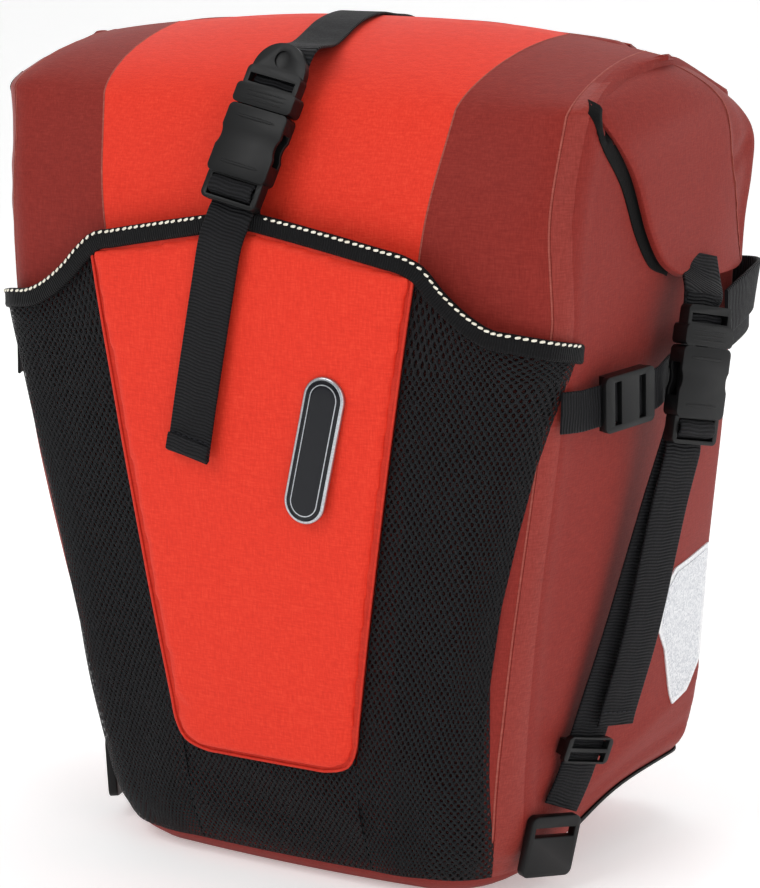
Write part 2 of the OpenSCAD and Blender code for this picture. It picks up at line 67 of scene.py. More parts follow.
Array = np.ndarray


def ridge_height(x: Array | float) -> Array:
    """Height of the ridge above the top of the wall at a sideways place."""
    return RIDGE_H * (1 - 0.38 * (np.abs(x) / 166) ** 2.4)


class Slot(Enum):
    """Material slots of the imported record."""

    BRIGHT = "fabric_bright"
    DARK = "fabric_dark"
    MESH = "mesh"
    WEBBING = "webbing"
    PLASTIC = "moulded_plastic"
    STIFFENER = "stiffener"
    REFLECTIVE = "reflective"
    STEEL = "steel"


# ---------------------------------------------------------------- finishes


def linear(hex_colour: str) -> tuple[float, float, float, float]:
    """Turn an sRGB hex colour to linear RGBA.

    Args:
        hex_colour: a colour such as "#E4482F".

    Returns:
        The linear colour with an alpha of 1.
    """
    parts = [int(hex_colour[i:i + 2], 16) / 255 for i in (1, 3, 5)]
    rgb = [c / 12.92 if c <= 0.04045 else ((c + 0.055) / 1.055) ** 2.4 for c in parts]
    return (rgb[0], rgb[1], rgb[2], 1.0)


def wire(tree: bpy.types.NodeTree, node: bpy.types.Node, links: dict) -> None:
    """Fill a node's inputs.

    Args:
        tree: the node tree.
        node: the node.
        links: input name or index to an output socket, or to a constant.
    """
    for key, value in links.items():
        if isinstance(value, bpy.types.NodeSocket):
            tree.links.new(value, node.inputs[key])
        else:
            node.inputs[key].default_value = value


def add_node(tree: bpy.types.NodeTree, kind: str, links: dict | None = None,
             **settings: object) -> bpy.types.Node:
    """Add a shader node with its settings and its incoming links.

    Args:
        tree: the node tree.
        kind: the node's type name without the ShaderNode prefix.
        links: input name or index to an output socket, or to a constant.
        settings: attributes of the node.

    Returns:
        The new node.
    """
    node = tree.nodes.new("ShaderNode" + kind)
    for key, value in settings.items():
        setattr(node, key, value)
    wire(tree, node, links or {})
    return node


def start_material(name: str) -> tuple[bpy.types.Material, bpy.types.NodeTree, bpy.types.Node]:
    """Make an empty node material.

    Args:
        name: the material's name.

    Returns:
        The material, its tree and its shader.
    """
    material = bpy.data.materials.new(name)
    material.use_nodes = True
    tree = material.node_tree
    return material, tree, tree.nodes["Principled BSDF"]


@dataclass(frozen=True)
class CoatedPolyester:
    """Polyester cloth with a polyurethane coat: matt, with a fine plain weave and heathered threads."""

    name: str
    thread: str
    light_thread: str
    dark_thread: str
    roughness: float = 0.62
    mottling: float = 0.10

    def build(self) -> bpy.types.Material:
        """Build the cloth: crossed thread streaks, slow mottling and a weave in the bump.

        Returns:
            The material.
        """
        material, tree, shader = start_material(self.name)
        place = add_node(tree, "TexCoord").outputs["Object"]
        # Threads are 0.3 mm apart; they are drawn about 0.9 mm apart so that they show.
        streaks = []
        for scale in ((210, 210, 1500), (1500, 1500, 190)):
            stretched = add_node(tree, "Mapping", {0: place, "Scale": scale}).outputs[0]
            streak = add_node(tree, "TexNoise", {"Vector": stretched, "Scale": 1.0, "Detail": 2.0})
            streaks.append(streak.outputs[0])
        both = add_node(tree, "Math", {0: streaks[0], 1: streaks[1]}, operation="ADD").outputs[0]
        slow = add_node(tree, "TexNoise", {"Vector": place, "Scale": 14.0, "Detail": 3.0}).outputs[0]
        drift = add_node(tree, "Math", {0: slow, 1: self.mottling * 2}, operation="MULTIPLY").outputs[0]
        total = add_node(tree, "Math", {0: both, 1: drift}, operation="ADD").outputs[0]
        ramp = add_node(tree, "ValToRGB", {0: add_node(
            tree, "MapRange", {0: total, 1: 0.72, 2: 1.48}).outputs[0]})
        ramp.color_ramp.elements[0].color = linear(self.dark_thread)
        ramp.color_ramp.elements[1].color = linear(self.light_thread)
        ramp.color_ramp.elements.new(0.5).color = linear(self.thread)
        fine = add_node(tree, "TexNoise", {"Vector": place, "Scale": 900.0, "Detail": 1.0}).outputs[0]
        height = add_node(tree, "Math", {0: both, 1: fine}, operation="ADD").outputs[0]
        bump = add_node(tree, "Bump", {"Height": height, "Strength": 0.22, "Distance": 0.0006})
        rough = add_node(tree, "MapRange", {0: slow, 3: self.roughness - 0.07, 4: self.roughness + 0.07})
        wire(tree, shader, {"Base Color": ramp.outputs[0], "Roughness": rough.outputs[0],
                            "Normal": bump.outputs[0], "IOR": 1.5, "Specular IOR Level": 0.17,
                            "Sheen Weight": 0.04, "Sheen Roughness": 0.5})
        return material


@dataclass(frozen=True)
class WovenWebbing:
    """Polypropylene webbing: ribs that run across with a slight herringbone lean, and a soft gleam."""

    name: str
    thread: str
    ridge: str
    rib_mm: float = 1.7
    row_mm: float = 8.0
    lean: float = 0.08

    def build(self) -> bpy.types.Material:
        """Build the ribs from the strap's own lengthwise and crosswise coordinates.

        Returns:
            The material.
        """
        material, tree, shader = start_material(self.name)
        place = add_node(tree, "TexCoord").outputs["UV"]
        axes = add_node(tree, "SeparateXYZ", {0: place})
        fold = add_node(tree, "Math", {0: axes.outputs[0], 1: self.row_mm * MM}, operation="PINGPONG")
        lean = add_node(tree, "Math", {0: fold.outputs[0], 1: self.lean}, operation="MULTIPLY").outputs[0]
        slant = add_node(tree, "Math", {0: lean, 1: axes.outputs[1]}, operation="ADD")
        turns = add_node(tree, "Math", {0: slant.outputs[0], 1: 2 * math.pi / (self.rib_mm * MM)},
                         operation="MULTIPLY")
        wave = add_node(tree, "Math", {0: turns.outputs[0]}, operation="SINE").outputs[0]
        fuzz = add_node(tree, "TexNoise", {"Vector": add_node(tree, "TexCoord").outputs["Object"],
                                           "Scale": 700.0, "Detail": 2.0}).outputs[0]
        height = add_node(tree, "Math", {0: wave, 1: fuzz}, operation="ADD").outputs[0]
        tone = add_node(tree, "MapRange", {0: height, 1: -0.8, 2: 1.8}).outputs[0]
        ramp = add_node(tree, "ValToRGB", {0: tone})
        ramp.color_ramp.elements[0].color = linear(self.thread)
        ramp.color_ramp.elements[1].color = linear(self.ridge)
        bump = add_node(tree, "Bump", {"Height": height, "Strength": 0.55, "Distance": 0.0005})
        rough = add_node(tree, "MapRange", {0: fuzz, 3: 0.5, 4: 0.7})
        wire(tree, shader, {"Base Color": ramp.outputs[0], "Roughness": rough.outputs[0],
                            "Normal": bump.outputs[0], "IOR": 1.49, "Specular IOR Level": 0.15,
                            "Sheen Weight": 0.02, "Sheen Roughness": 0.4})
        return material


@dataclass(frozen=True)
class SpacerMesh:
    """Knitted polyester spacer mesh: black yarn round small upright oval holes that let light through."""

    name: str
    yarn: str
    rim: str
    pitch_mm: tuple[float, float] = (3.1, 2.4)

    def build(self) -> bpy.types.Material:
        """Build staggered rows of oval holes from the cloth's own coordinates.

        Returns:
            The material.
        """
        material, tree, shader = start_material(self.name)
        place = add_node(tree, "TexCoord").outputs["UV"]
        wobble = add_node(tree, "TexNoise", {"Vector": place, "Scale": 160.0}).outputs["Color"]
        soft = add_node(tree, "MixRGB", {0: 0.0006, 1: place, 2: wobble}).outputs[0]
        across, along = self.pitch_mm
        scale = (math.sqrt(2) / (across * MM), math.sqrt(0.5) / (along * MM), 1.0)
        turned = add_node(tree, "Mapping", {0: soft, "Scale": scale, "Rotation": (0, 0, math.pi / 4)})
        cell = add_node(tree, "TexVoronoi", {"Vector": turned.outputs[0], "Scale": 1.0, "Randomness": 0.0},
                        voronoi_dimensions="2D").outputs["Distance"]
        hole = add_node(tree, "MapRange", {0: cell, 1: 0.28, 2: 0.36, 3: 1.0, 4: 0.0}).outputs[0]
        knit = add_node(tree, "TexNoise", {"Vector": place, "Scale": 1500.0, "Detail": 2.0}).outputs[0]
        height = add_node(tree, "Math", {0: cell, 1: knit}, operation="ADD").outputs[0]
        bump = add_node(tree, "Bump", {"Height": height, "Strength": 0.8, "Distance": 0.0009})
        tone = add_node(tree, "MapRange", {0: height, 1: 0.6, 2: 1.35}).outputs[0]
        ramp = add_node(tree, "ValToRGB", {0: tone})
        ramp.color_ramp.elements[0].color = linear(self.yarn)
        ramp.color_ramp.elements[1].color = linear(self.rim)
        shade = add_node(tree, "MixRGB", {0: hole, 1: ramp.outputs[0], 2: linear("#000000")}).outputs[0]
        solid = add_node(tree, "Math", {0: hole, 1: -0.6, 2: 1.0}, operation="MULTIPLY_ADD")
        wire(tree, shader, {"Base Color": shade, "Normal": bump.outputs[0], "Roughness": 0.72, "IOR": 1.5,
                            "Specular IOR Level": 0.2, "Alpha": solid.outputs[0]})
        return material


@dataclass(frozen=True)
class MouldedNylon:
    """Injection-moulded nylon or acetal: near black, satin, with a fine spark-eroded grain."""

    name: str
    colour: str
    lift: str
    roughness: float = 0.42

    def build(self) -> bpy.types.Material:
        """Build the grain and the slow change of gloss.

        Returns:
            The material.
        """
        material, tree, shader = start_material(self.name)
        place = add_node(tree, "TexCoord").outputs["Object"]
        # The grain is 0.1 mm; it is drawn at about 0.6 mm so that it shows.
        grain = add_node(tree, "TexNoise", {"Vector": place, "Scale": 1600.0, "Detail": 3.0}).outputs[0]
        slow = add_node(tree, "TexNoise", {"Vector": place, "Scale": 90.0, "Detail": 4.0}).outputs[0]
        mix = add_node(tree, "MixRGB", {0: slow, 1: linear(self.colour), 2: linear(self.lift)})
        rough = add_node(tree, "MapRange", {0: slow, 3: self.roughness - 0.08, 4: self.roughness + 0.1})
        bump = add_node(tree, "Bump", {"Height": grain, "Strength": 0.12, "Distance": 0.0003})
        wire(tree, shader, {"Base Color": mix.outputs[0], "Roughness": rough.outputs[0],
                            "Normal": bump.outputs[0], "IOR": 1.5, "Specular IOR Level": 0.26})
        return material


@dataclass(frozen=True)
class GlassBeadFilm:
    """Retroreflective film: silver-white, with a fine sparkle of glass beads."""

    name: str
    colour: str
    shade: str

    def build(self) -> bpy.types.Material:
        """Build the speckle of the beads.

        Returns:
            The material.
        """
        material, tree, shader = start_material(self.name)
        place = add_node(tree, "TexCoord").outputs["Object"]
        # Beads are 0.06 mm; their clumps are drawn at about 1 mm so that they show.
        beads = add_node(tree, "TexVoronoi", {"Vector": place, "Scale": 1100.0}).outputs["Color"]
        tone = add_node(tree, "SeparateXYZ", {0: beads}).outputs[0]
        mix = add_node(tree, "MixRGB", {0: tone, 1: linear(self.shade), 2: linear(self.colour)})
        bump = add_node(tree, "Bump", {"Height": tone, "Strength": 0.25, "Distance": 0.0003})
        wire(tree, shader, {"Base Color": mix.outputs[0], "Normal": bump.outputs[0], "Metallic": 0.15,
                            "Roughness": 0.38})
        return material


@dataclass(frozen=True)
class TurnedSteel:
    """Stainless steel, turned and zinc-bright: a grey metal with fine rings."""

    name: str
    colour: str

    def build(self) -> bpy.types.Material:
        """Build the metal with its fine machining marks.

        Returns:
            The material.
        """
        material, tree, shader = start_material(self.name)
        place = add_node(tree, "TexCoord").outputs["Object"]
        marks = add_node(tree, "TexNoise", {"Vector": place, "Scale": 1200.0, "Detail": 2.0}).outputs[0]
        mix = add_node(tree, "MixRGB", {0: marks, 1: linear(self.colour), 2: linear("#8E9296")})
        rough = add_node(tree, "MapRange", {0: marks, 3: 0.25, 4: 0.42})
        wire(tree, shader, {"Base Color": mix.outputs[0], "Roughness": rough.outputs[0], "Metallic": 1.0})
        return material


class Palette:
    """The finishes of the bag, each built once."""

    def __init__(self) -> None:
        """Build every finish."""
        self.bright = CoatedPolyester("coated_polyester_bright_red", "#DE3420", "#E6402A", "#D42E1B").build()
        self.dark = CoatedPolyester("coated_polyester_brick_red", "#84251D", "#8E2E25", "#7A1F18").build()
        self.weld = CoatedPolyester("hot_welded_polyester_band", "#8C3028", "#983A31", "#80281F",
                                    roughness=0.42).build()
        self.weld_line = CoatedPolyester("cut_edge_of_polyester", "#9A4A40", "#AA5C50", "#8A3E36").build()
        self.pad_edge = CoatedPolyester("pressed_polyester_edge", "#C83020", "#D23C28", "#B82A1A").build()
        self.mesh = SpacerMesh("knitted_spacer_mesh", "#060607", "#1C1C1F").build()
        self.webbing = WovenWebbing("woven_polypropylene_webbing", "#020203", "#1D1D20").build()
        self.binding = WovenWebbing("woven_binding_tape", "#030304", "#101012", rib_mm=1.3,
                                    row_mm=1.6).build()
        self.thread = WovenWebbing("bonded_black_thread", "#17171A", "#33333A", rib_mm=0.8).build()
        self.plastic = MouldedNylon("moulded_black_acetal", "#050506", "#0B0C0D").build()
        self.rail = MouldedNylon("moulded_black_nylon", "#0A0B0C", "#111214", roughness=0.5).build()
        self.badge = MouldedNylon("gloss_black_enamel", "#0D0F14", "#12141A", roughness=0.2).build()
        self.film = GlassBeadFilm("glass_bead_film", "#EDEEF0", "#BFC2C8").build()
        self.film_edge = GlassBeadFilm("glass_bead_film_border", "#F6F6F7", "#DADBDE").build()
        self.piping = GlassBeadFilm("reflective_piping_thread", "#F4F0E2", "#DDD6C2").build()
        self.silver = TurnedSteel("brushed_silver_rim", "#D4D7DB").build()
        self.steel = TurnedSteel("turned_stainless_steel", "#B9BDC2").build()
        # Pure black and fully matt: painted shadow laid in the mouth of each folded ear, not a cloth of the
        # bag.
        self.painted_fold_shadow = CoatedPolyester("black_painted_fold_mouth_shadow", "#000000", "#010101", "#000000",
                                      roughness=0.9).build()
        self.board = MouldedNylon("extruded_grey_board", "#4A4C50", "#56585C", roughness=0.6).build()


# ---------------------------------------------------------------- mesh helpers


def add_piece(name: str, points: Array, faces: list, finish: bpy.types.Material,
              body: str = "root",
              uv: Array | None = None, sharp: float = 40.0) -> bpy.types.Object:
    """Make a mesh object from points in millimetres and let it ride on a body.

    Args:
        name: the piece's name.
        points: the points, in millimetres.
        faces: tuples of point numbers.
        finish: the material.
        body: the CAD body that the piece moves with.
        uv: one pair in metres for each point.
        sharp: angle in degrees above which an edge stays sharp.

    Returns:
        The new object.
    """
    data = bpy.data.meshes.new(name)
    data.from_pydata((np.asarray(points, float) * MM).tolist(), [], [tuple(int(i) for i in f) for f in faces])
    if uv is not None:
        layer = data.uv_layers.new(name="cloth")
        loops = np.zeros(len(data.loops), np.int32)
        data.loops.foreach_get("vertex_index", loops)
        layer.data.foreach_set("uv", np.asarray(uv, float)[loops].astype(np.float32).ravel())
    data.validate()
    data.polygons.foreach_set("use_smooth", [True] * len(data.polygons))
    data.set_sharp_from_angle(angle=math.radians(sharp))
    data.materials.append(finish)
    obj = link_object(name, data)
    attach(obj, body)
    return obj


def link_object(name: str, data: bpy.types.ID) -> bpy.types.Object:
    """Put new object data into the scene.

    Args:
        name: the object's name.
        data: a mesh, a camera or a light.

    Returns:
        The new object.
    """
    obj = bpy.data.objects.new(name, data)
    bpy.context.scene.collection.objects.link(obj)
    return obj


def run_length(line: Array) -> Array:
    """Measure how far along a line each of its points lies."""
    return np.concatenate([[0], np.cumsum(np.linalg.norm(np.diff(line, axis=0), axis=1))])


def unit(v: Array) -> Array:
    """Scale vectors to a length of 1."""
    v = np.asarray(v, float)
    return v / np.maximum(np.linalg.norm(v, axis=-1, keepdims=True), 1e-9)


def grid_normals(grid: Array, towards: Array) -> Array:
    """Find the normals of a grid of points.

    Args:
        grid: points as rows x columns x 3.
        towards: a point on the outer side, which sets the sign.

    Returns:
        Unit normals that point to the outer side on average.
    """
    normal = unit(np.cross(np.gradient(grid, axis=1), np.gradient(grid, axis=0)))
    facing = np.sum(normal * (np.asarray(towards, float) - grid), axis=2).mean()
    return normal if facing > 0 else -normal


def cloth_uv(grid: Array) -> Array:
    """Measure a grid along its rows and columns, in metres.

    Args:
        grid: points as rows x columns x 3, in millimetres.

    Returns:
        One pair of metres for each point.
    """
    across = np.linalg.norm(np.diff(grid, axis=1), axis=2).mean(axis=0)
    along = np.linalg.norm(np.diff(grid, axis=0), axis=2).mean(axis=1)
    u, v = (np.concatenate([[0], np.cumsum(a)]) * MM for a in (across, along))
    return np.stack(np.meshgrid(u, v), axis=2)


def sheet_faces(rows: int, cols: int, flip: bool) -> list:
    """List the faces of a closed sheet made of an outer and an inner grid.

    Args:
        rows: rows of each grid.
        cols: columns of each grid.
        flip: True to wind the faces the other way.

    Returns:
        Quads that close the sheet all round.
    """
    n = rows * cols
    i, j = np.meshgrid(np.arange(rows - 1), np.arange(cols - 1), indexing="ij")
    k = (i * cols + j).ravel()
    outer = np.stack([k, k + 1, k + cols + 1, k + cols], axis=1)
    inner = outer[:, ::-1] + n
    rims = []
    for line in (np.arange(cols), np.arange(rows) * cols + cols - 1,
                 np.arange(cols)[::-1] + (rows - 1) * cols, np.arange(rows)[::-1] * cols):
        a, b = line[:-1], line[1:]
        rims.append(np.stack([b, a, a + n, b + n], axis=1))
    faces = np.concatenate([outer, inner] + rims)
    return (faces[:, ::-1] if flip else faces).tolist()


def add_sheet(name: str, grid: Array, thick: float, towards: Array, finish: bpy.types.Material,
              body: str = "root") -> bpy.types.Object:
    """Make a closed sheet that grows inward from a grid of outer points.

    Args:
        name: the piece's name.
        grid: outer points, rows x columns x 3, in millimetres.
        thick: thickness in millimetres.
        towards: a point on the outer side.
        finish: the material.
        body: the body that the sheet moves with.

    Returns:
        The new object.
    """
    rows, cols = grid.shape[:2]
    normal = grid_normals(grid, towards)
    points = np.concatenate([grid.reshape(-1, 3), (grid - normal * thick).reshape(-1, 3)])
    plain = np.cross(np.gradient(grid, axis=1), np.gradient(grid, axis=0))
    flip = np.sum(plain * normal) < 0
    uv = cloth_uv(grid).reshape(-1, 2)
    return add_piece(name, points, sheet_faces(rows, cols, flip), finish, body,
                     np.concatenate([uv, uv]))


def smooth_path(path: list, step: float = 3.0) -> Array:
    """Run a smooth curve through points, about one point every step millimetres.

    Args:
        path: the points, in millimetres.
        step: distance between the new points.

    Returns:
        The points of the curve.
    """
    p = np.asarray(path, float)
    p = np.concatenate([[2 * p[0] - p[1]], p, [2 * p[-1] - p[-2]]])
    out = []
    for a, b, c, d in zip(p[:-3], p[1:-2], p[2:-1], p[3:]):
        count = max(2, int(np.linalg.norm(c - b) / step))
        knots = np.cumsum([0] + [max(np.linalg.norm(y - x), 1e-6) ** 0.5 for x,
                                 y in ((a, b), (b, c), (c, d))])
        t = np.linspace(knots[1], knots[2], count, endpoint=False)[:, None]
        ab = (knots[1] - t) / (knots[1] - knots[0]) * a + (t - knots[0]) / (knots[1] - knots[0]) * b
        bc = (knots[2] - t) / (knots[2] - knots[1]) * b + (t - knots[1]) / (knots[2] - knots[1]) * c
        cd = (knots[3] - t) / (knots[3] - knots[2]) * c + (t - knots[2]) / (knots[3] - knots[2]) * d
        abc = (knots[2] - t) / (knots[2] - knots[0]) * ab + (t - knots[0]) / (knots[2] - knots[0]) * bc
        bcd = (knots[3] - t) / (knots[3] - knots[1]) * bc + (t - knots[1]) / (knots[3] - knots[1]) * cd
        out.append((knots[2] - t) / (knots[2] - knots[1]) * abc + (t - knots[1]) / (knots[2] - knots[1])
                   * bcd)
    return np.concatenate(out + [p[-2:-1]])


def strap_frame(path: Array, across: Array) -> tuple[Array, Array]:
    """Find the crosswise and outward directions along a strap.

    Args:
        path: points of the strap's middle.
        across: the direction of its width.

    Returns:
        Unit vectors across and outward for each point.
    """
    along = unit(np.gradient(path, axis=0))
    across = np.broadcast_to(np.asarray(across, float), path.shape)
    side = unit(across - np.sum(across * along, axis=1, keepdims=True) * along)
    return side, np.cross(side, along)


def tube_faces(rings: int, around: int) -> list:
    """List the faces of a tube with capped ends.

    Args:
        rings: number of rings.
        around: points in each ring.

    Returns:
        Tuples of point numbers.
    """
    faces = [(i * around + j, i * around + (j + 1) % around, (i + 1) * around + (j + 1) % around,
              (i + 1) * around + j) for i in range(rings - 1) for j in range(around)]
    return faces + [tuple(range(around))[::-1], tuple(range((rings - 1) * around, rings * around))]


def add_strap(name: str, path: list, across: Array, width: float, thick: float, finish: bpy.types.Material,
              body: str = "root", step: float = 3.0) -> bpy.types.Object:
    """Make a flat strap with rounded edges along a path.

    Args:
        name: the piece's name.
        path: points of the strap's middle, in millimetres.
        across: the direction of its width, one or one for each point of the smooth path.
        width: width in millimetres.
        thick: thickness in millimetres.
        finish: the material.
        body: the body that the strap moves with.
        step: distance between rings in millimetres.

    Returns:
        The new object.
    """
    line = smooth_path(path, step)
    side, out = strap_frame(line, across)
    w, t = width / 2, thick / 2
    profile = [(-w, 0), (-w + 0.25 * t, 0.7 * t), (-w + t, t), (-w / 3, t * 0.94), (w / 3, t * 0.94),
               (w - t, t),
               (w - 0.25 * t, 0.7 * t), (w, 0), (w - 0.25 * t, -0.7 * t), (w - t, -t), (w / 3, -t * 0.94),
               (-w / 3, -t * 0.94), (-w + t, -t), (-w + 0.25 * t, -0.7 * t)]
    across_mm = np.array([p[0] for p in profile])
    up_mm = np.array([p[1] for p in profile])
    points = line[:, None] + side[:, None] * across_mm[None, :, None] + out[:, None] * up_mm[None, :, None]
    length = run_length(line)
    uv = np.stack(np.broadcast_arrays(across_mm[None, :], length[:, None]), axis=2) * MM
    faces = tube_faces(len(line), len(profile))
    return add_piece(name, points.reshape(-1, 3), faces, finish, body, uv.reshape(-1, 2), sharp=60)


def add_beads(name: str, centres: Array, along: Array, out: Array, size: tuple[float, float, float],
              finish: bpy.types.Material, body: str = "root") -> bpy.types.Object:
    """Make a row of small rounded bars, such as stitches.

    Args:
        name: the piece's name.
        centres: the middle of each bar, in millimetres.
        along: each bar's direction.
        out: each bar's outward direction.
        size: length, width and height in millimetres.
        finish: the material.
        body: the body that the bars move with.

    Returns:
        The new object.
    """
    centres = np.asarray(centres, float)
    along, out = (unit(np.broadcast_to(np.asarray(v, float), centres.shape)) for v in (along, out))
    side = np.cross(along, out)
    length, width, height = (s / 2 for s in size)
    rings = [(-1.0, 0.35), (-0.75, 0.85), (0.0, 1.0), (0.75, 0.85), (1.0, 0.35)]
    around = 8
    angles = np.arange(around) * 2 * np.pi / around
    local = np.array([(u * length, r * width * math.cos(a), r * height * math.sin(a)) for u, r in rings
                      for a in angles])
    points = (centres[:, None] + along[:, None] * local[None, :, 0:1] + side[:, None] * local[None, :, 1:2]
              + out[:, None] * local[None, :, 2:3]).reshape(-1, 3)
    one = tube_faces(len(rings), around)
    faces = [tuple(v + k * len(local) for v in f) for k in range(len(centres)) for f in one]
    uv = np.tile(local[:, [1, 0]] * MM, (len(centres), 1))
    return add_piece(name, points, faces, finish, body, uv, sharp=80)


def rounded_copy(node: str, finish: bpy.types.Material, radius: float = 0.6) -> bpy.types.Object:
    """Stand in for a hard CAD node with the same shape, its edges rounded as a mould leaves them.

    Args:
        node: the CAD node's name.
        finish: the material.
        radius: the edge radius in millimetres.

    Returns:
        The new object, which replaces the node.
    """
    source = frame["nodes"][node]
    shape = bmesh.new()
    shape.from_mesh(source.data)
    bmesh.ops.remove_doubles(shape, verts=shape.verts, dist=2e-6)
    bmesh.ops.dissolve_limit(shape, angle_limit=math.radians(1.2), verts=shape.verts, edges=shape.edges)
    data = bpy.data.meshes.new("moulded_" + node)
    shape.to_mesh(data)
    shape.free()
    data.materials.clear()
    data.materials.append(finish)
    data.polygons.foreach_set("use_smooth", [True] * len(data.polygons))
    obj = link_object("moulded_" + node, data)
    edge = obj.modifiers.new("edge_radius", "BEVEL")
    edge.width = radius * MM
    edge.segments = 2
    edge.limit_method = "ANGLE"
    edge.angle_limit = math.radians(38)
    edge.harden_normals = False
    bpy.context.view_layer.update()
    baked = bpy.data.meshes.new_from_object(obj.evaluated_get(bpy.context.evaluated_depsgraph_get()))
    obj.modifiers.clear()
    obj.data = baked
    baked.set_sharp_from_angle(angle=math.radians(44))
    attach(obj, BODY_OF[node])
    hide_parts(node)
    return obj


BODY_OF: dict[str, str] = {n: b for b, nodes in frame["record"]["behaviour"]["bodies"].items() for n in nodes}


# ---------------------------------------------------------------- the bag's form

SIDES = ((1, "right"), (-1, "left"))
MIDDLE_BACK = 14
# The column at which the bright panel's edge comes down behind the ridge.
BRIGHT_BACK = 13.223
CORNER_WELD = 6.0
BACK_WELD = 12.0
# One row of the form's table for each millimetre from the ground to the wall's top.
TABLE_ROWS = 394


@dataclass
class BagForm:
    """The shape of the filled bag, as a surface over columns and heights.

    Columns run over one half: 0 is the middle of the front, 2 the edge of the bright panel, 4 to 8 the
    front corner, 8 to 11 the gusset, 11 to 13 the back corner and 14 the middle of the back.
    """

    width: float = 332.0
    depth: float = 211.0
    crown: float = 7.0
    back_radius: float = 18.0
    levels: tuple = (
        (0.00, .320, .825, 38, .372, 0), (0.02, .352, .867, 40, .402, 0), (0.06, .367, .896, 38, .427, 0),
        (0.17, .380, .929, 34, .446, 0), (0.36, .413, .962, 28, .462, 0), (0.56, .449, .986, 25, .484, 0),
        (0.75, .476, 1.00, 24, .492, 0), (0.88, .484, 1.00, 24, .497, 0), (1.00, .496, .929, 22, .500, 16))
    table: Array = field(init=False)

    def __post_init__(self) -> None:
        """Smooth the levels into a table with one row for each millimetre of height."""
        rows = np.array(self.levels, float)
        z = np.arange(float(TABLE_ROWS))
        raw = np.stack([np.interp(z, rows[:, 0] * BODY_TOP, rows[:, k]) for k in range(1, 6)], axis=1)
        self.table = raw.copy()
        for k in range(len(z)):
            reach = int(min(18, k, len(z) - 1 - k))
            self.table[k] = raw[k - reach:k + reach + 1].mean(axis=0)

    def shape(self, z: Array) -> list[Array]:
        """Half width in front, depth, corner radius, half width behind and lean at heights z.

        Args:
            z: heights in millimetres.

        Returns:
            Five arrays of millimetres, in that order.
        """
        z = np.clip(z, 0, BODY_TOP)
        f, d, r, b, lean = (np.interp(z, np.arange(float(TABLE_ROWS)), self.table[:, k]) for k in range(5))
        return [f * self.width, d * self.depth, r, b * self.width, lean]

    def front_y(self, x: Array, z: Array, away: float = 0.0) -> Array:
        """Depth of the front face, moved out by away."""
        half, depth = self.shape(z)[:2]
        return BACK_Y - depth - self.crown * (1 - (np.abs(x) / half) ** 2) - away

    def wall(self, c: Array, z: Array, away: Array = 0.0) -> Array:
        """Points of the upright wall of the right half, moved out by away.

        Args:
            c: columns, 0 to 14.
            z: heights in millimetres.
            away: how far outside the skin.

        Returns:
            The points in millimetres.
        """
        c, z, away = np.broadcast_arrays(np.asarray(c, float), np.asarray(z, float), np.asarray(away, float))
        half, depth, radius, back, lean = self.shape(z)
        split = half * (0.53 + np.maximum(0, 0.065 * (z - 294) / 99))
        flat = half - radius
        wf, yf, rf = half + away, BACK_Y - depth - away, radius + away
        wb, yb, rb = back + away, BACK_Y - lean + away, self.back_radius + away
        x = np.where(c <= 2, split * c / 2, split + (flat - split) * (c - 2) / 2)
        y = yf - self.crown * (1 - (x / half) ** 2)
        a = np.radians(22.5 * (np.clip(c, 4, 8) - 4))
        edge = self.crown * (1 - (flat / half) ** 2)
        in_arc = (c > 4) & (c <= 8)
        x = np.where(in_arc, wf - rf + rf * np.sin(a), x)
        y = np.where(in_arc, yf + rf - rf * np.cos(a) - edge * np.cos(a), y)
        s = np.clip((c - 8) / 3, 0, 1)
        in_side = (c > 8) & (c <= 11)
        x = np.where(in_side, wf + (wb - wf) * s + 16 * s * (1 - s), x)
        y = np.where(in_side, yf + rf + (yb - rb - yf - rf) * s, y)
        b = np.radians(45 * (np.clip(c, 11, 13) - 11))
        in_back = (c > 11) & (c <= 13)
        x = np.where(in_back, wb - rb + rb * np.cos(b), x)
        y = np.where(in_back, yb - rb + rb * np.sin(b), y)
        last = c > 13
        x = np.where(last, (wb - rb) * (14 - c), x)
        y = np.where(last, yb, y)
        return np.stack([x, y, z + self.rise(y) * np.clip(1 - z / 80, 0, 1) ** 1.5], axis=-1)

    @staticmethod
    def rise(y: Array) -> Array:
        """How far the underside is lifted off the ground, which grows toward the back."""
        return 30 * (0.5 + 0.5 * np.tanh((np.asarray(y, float) - 5) / 32))

    def gable(self, c: Array, v: Array, away: Array = 0.0) -> Array:
        """Points of the top of the right half: v is 0 at the top of the wall and 1 on the ridge.

        Args:
            c: columns, 0 to 14.
            v: share of the rise to the ridge.
            away: how far outside the skin.

        Returns:
            The points in millimetres.
        """
        c, v, away = np.broadcast_arrays(np.asarray(c, float), np.asarray(v, float), np.asarray(away, float))
        foot = self.wall(c, BODY_TOP, away * (1 - 0.7 * v))
        ridge_x = np.interp(c, [0, 2, 4, 6, 8, 11, 12, 13, BRIGHT_BACK, MIDDLE_BACK],
                            [0, 113, 137, 154, 165, 165, 160, 148, 113, 0])
        height = ridge_height(ridge_x)
        front = np.clip((8 - c) / 2, 0, 1)
        back = np.clip((c - 11) / 2, 0, 1)
        side = 1 - front - back
        arch = np.sin(np.pi / 2 * v)
        across = front * v ** 1.5 + (side + back) * v
        up = front * (0.35 * v + 0.65 * arch) + side * arch + back * v ** 1.05
        x = foot[..., 0] + (ridge_x - foot[..., 0]) * v ** 1.3 - side * 5 * np.sin(np.pi * v)
        y = foot[..., 1] + (RIDGE_Y - foot[..., 1]) * across
        z = BODY_TOP + (height + away * 0.8) * up
        return np.stack([x, y, z], axis=-1)

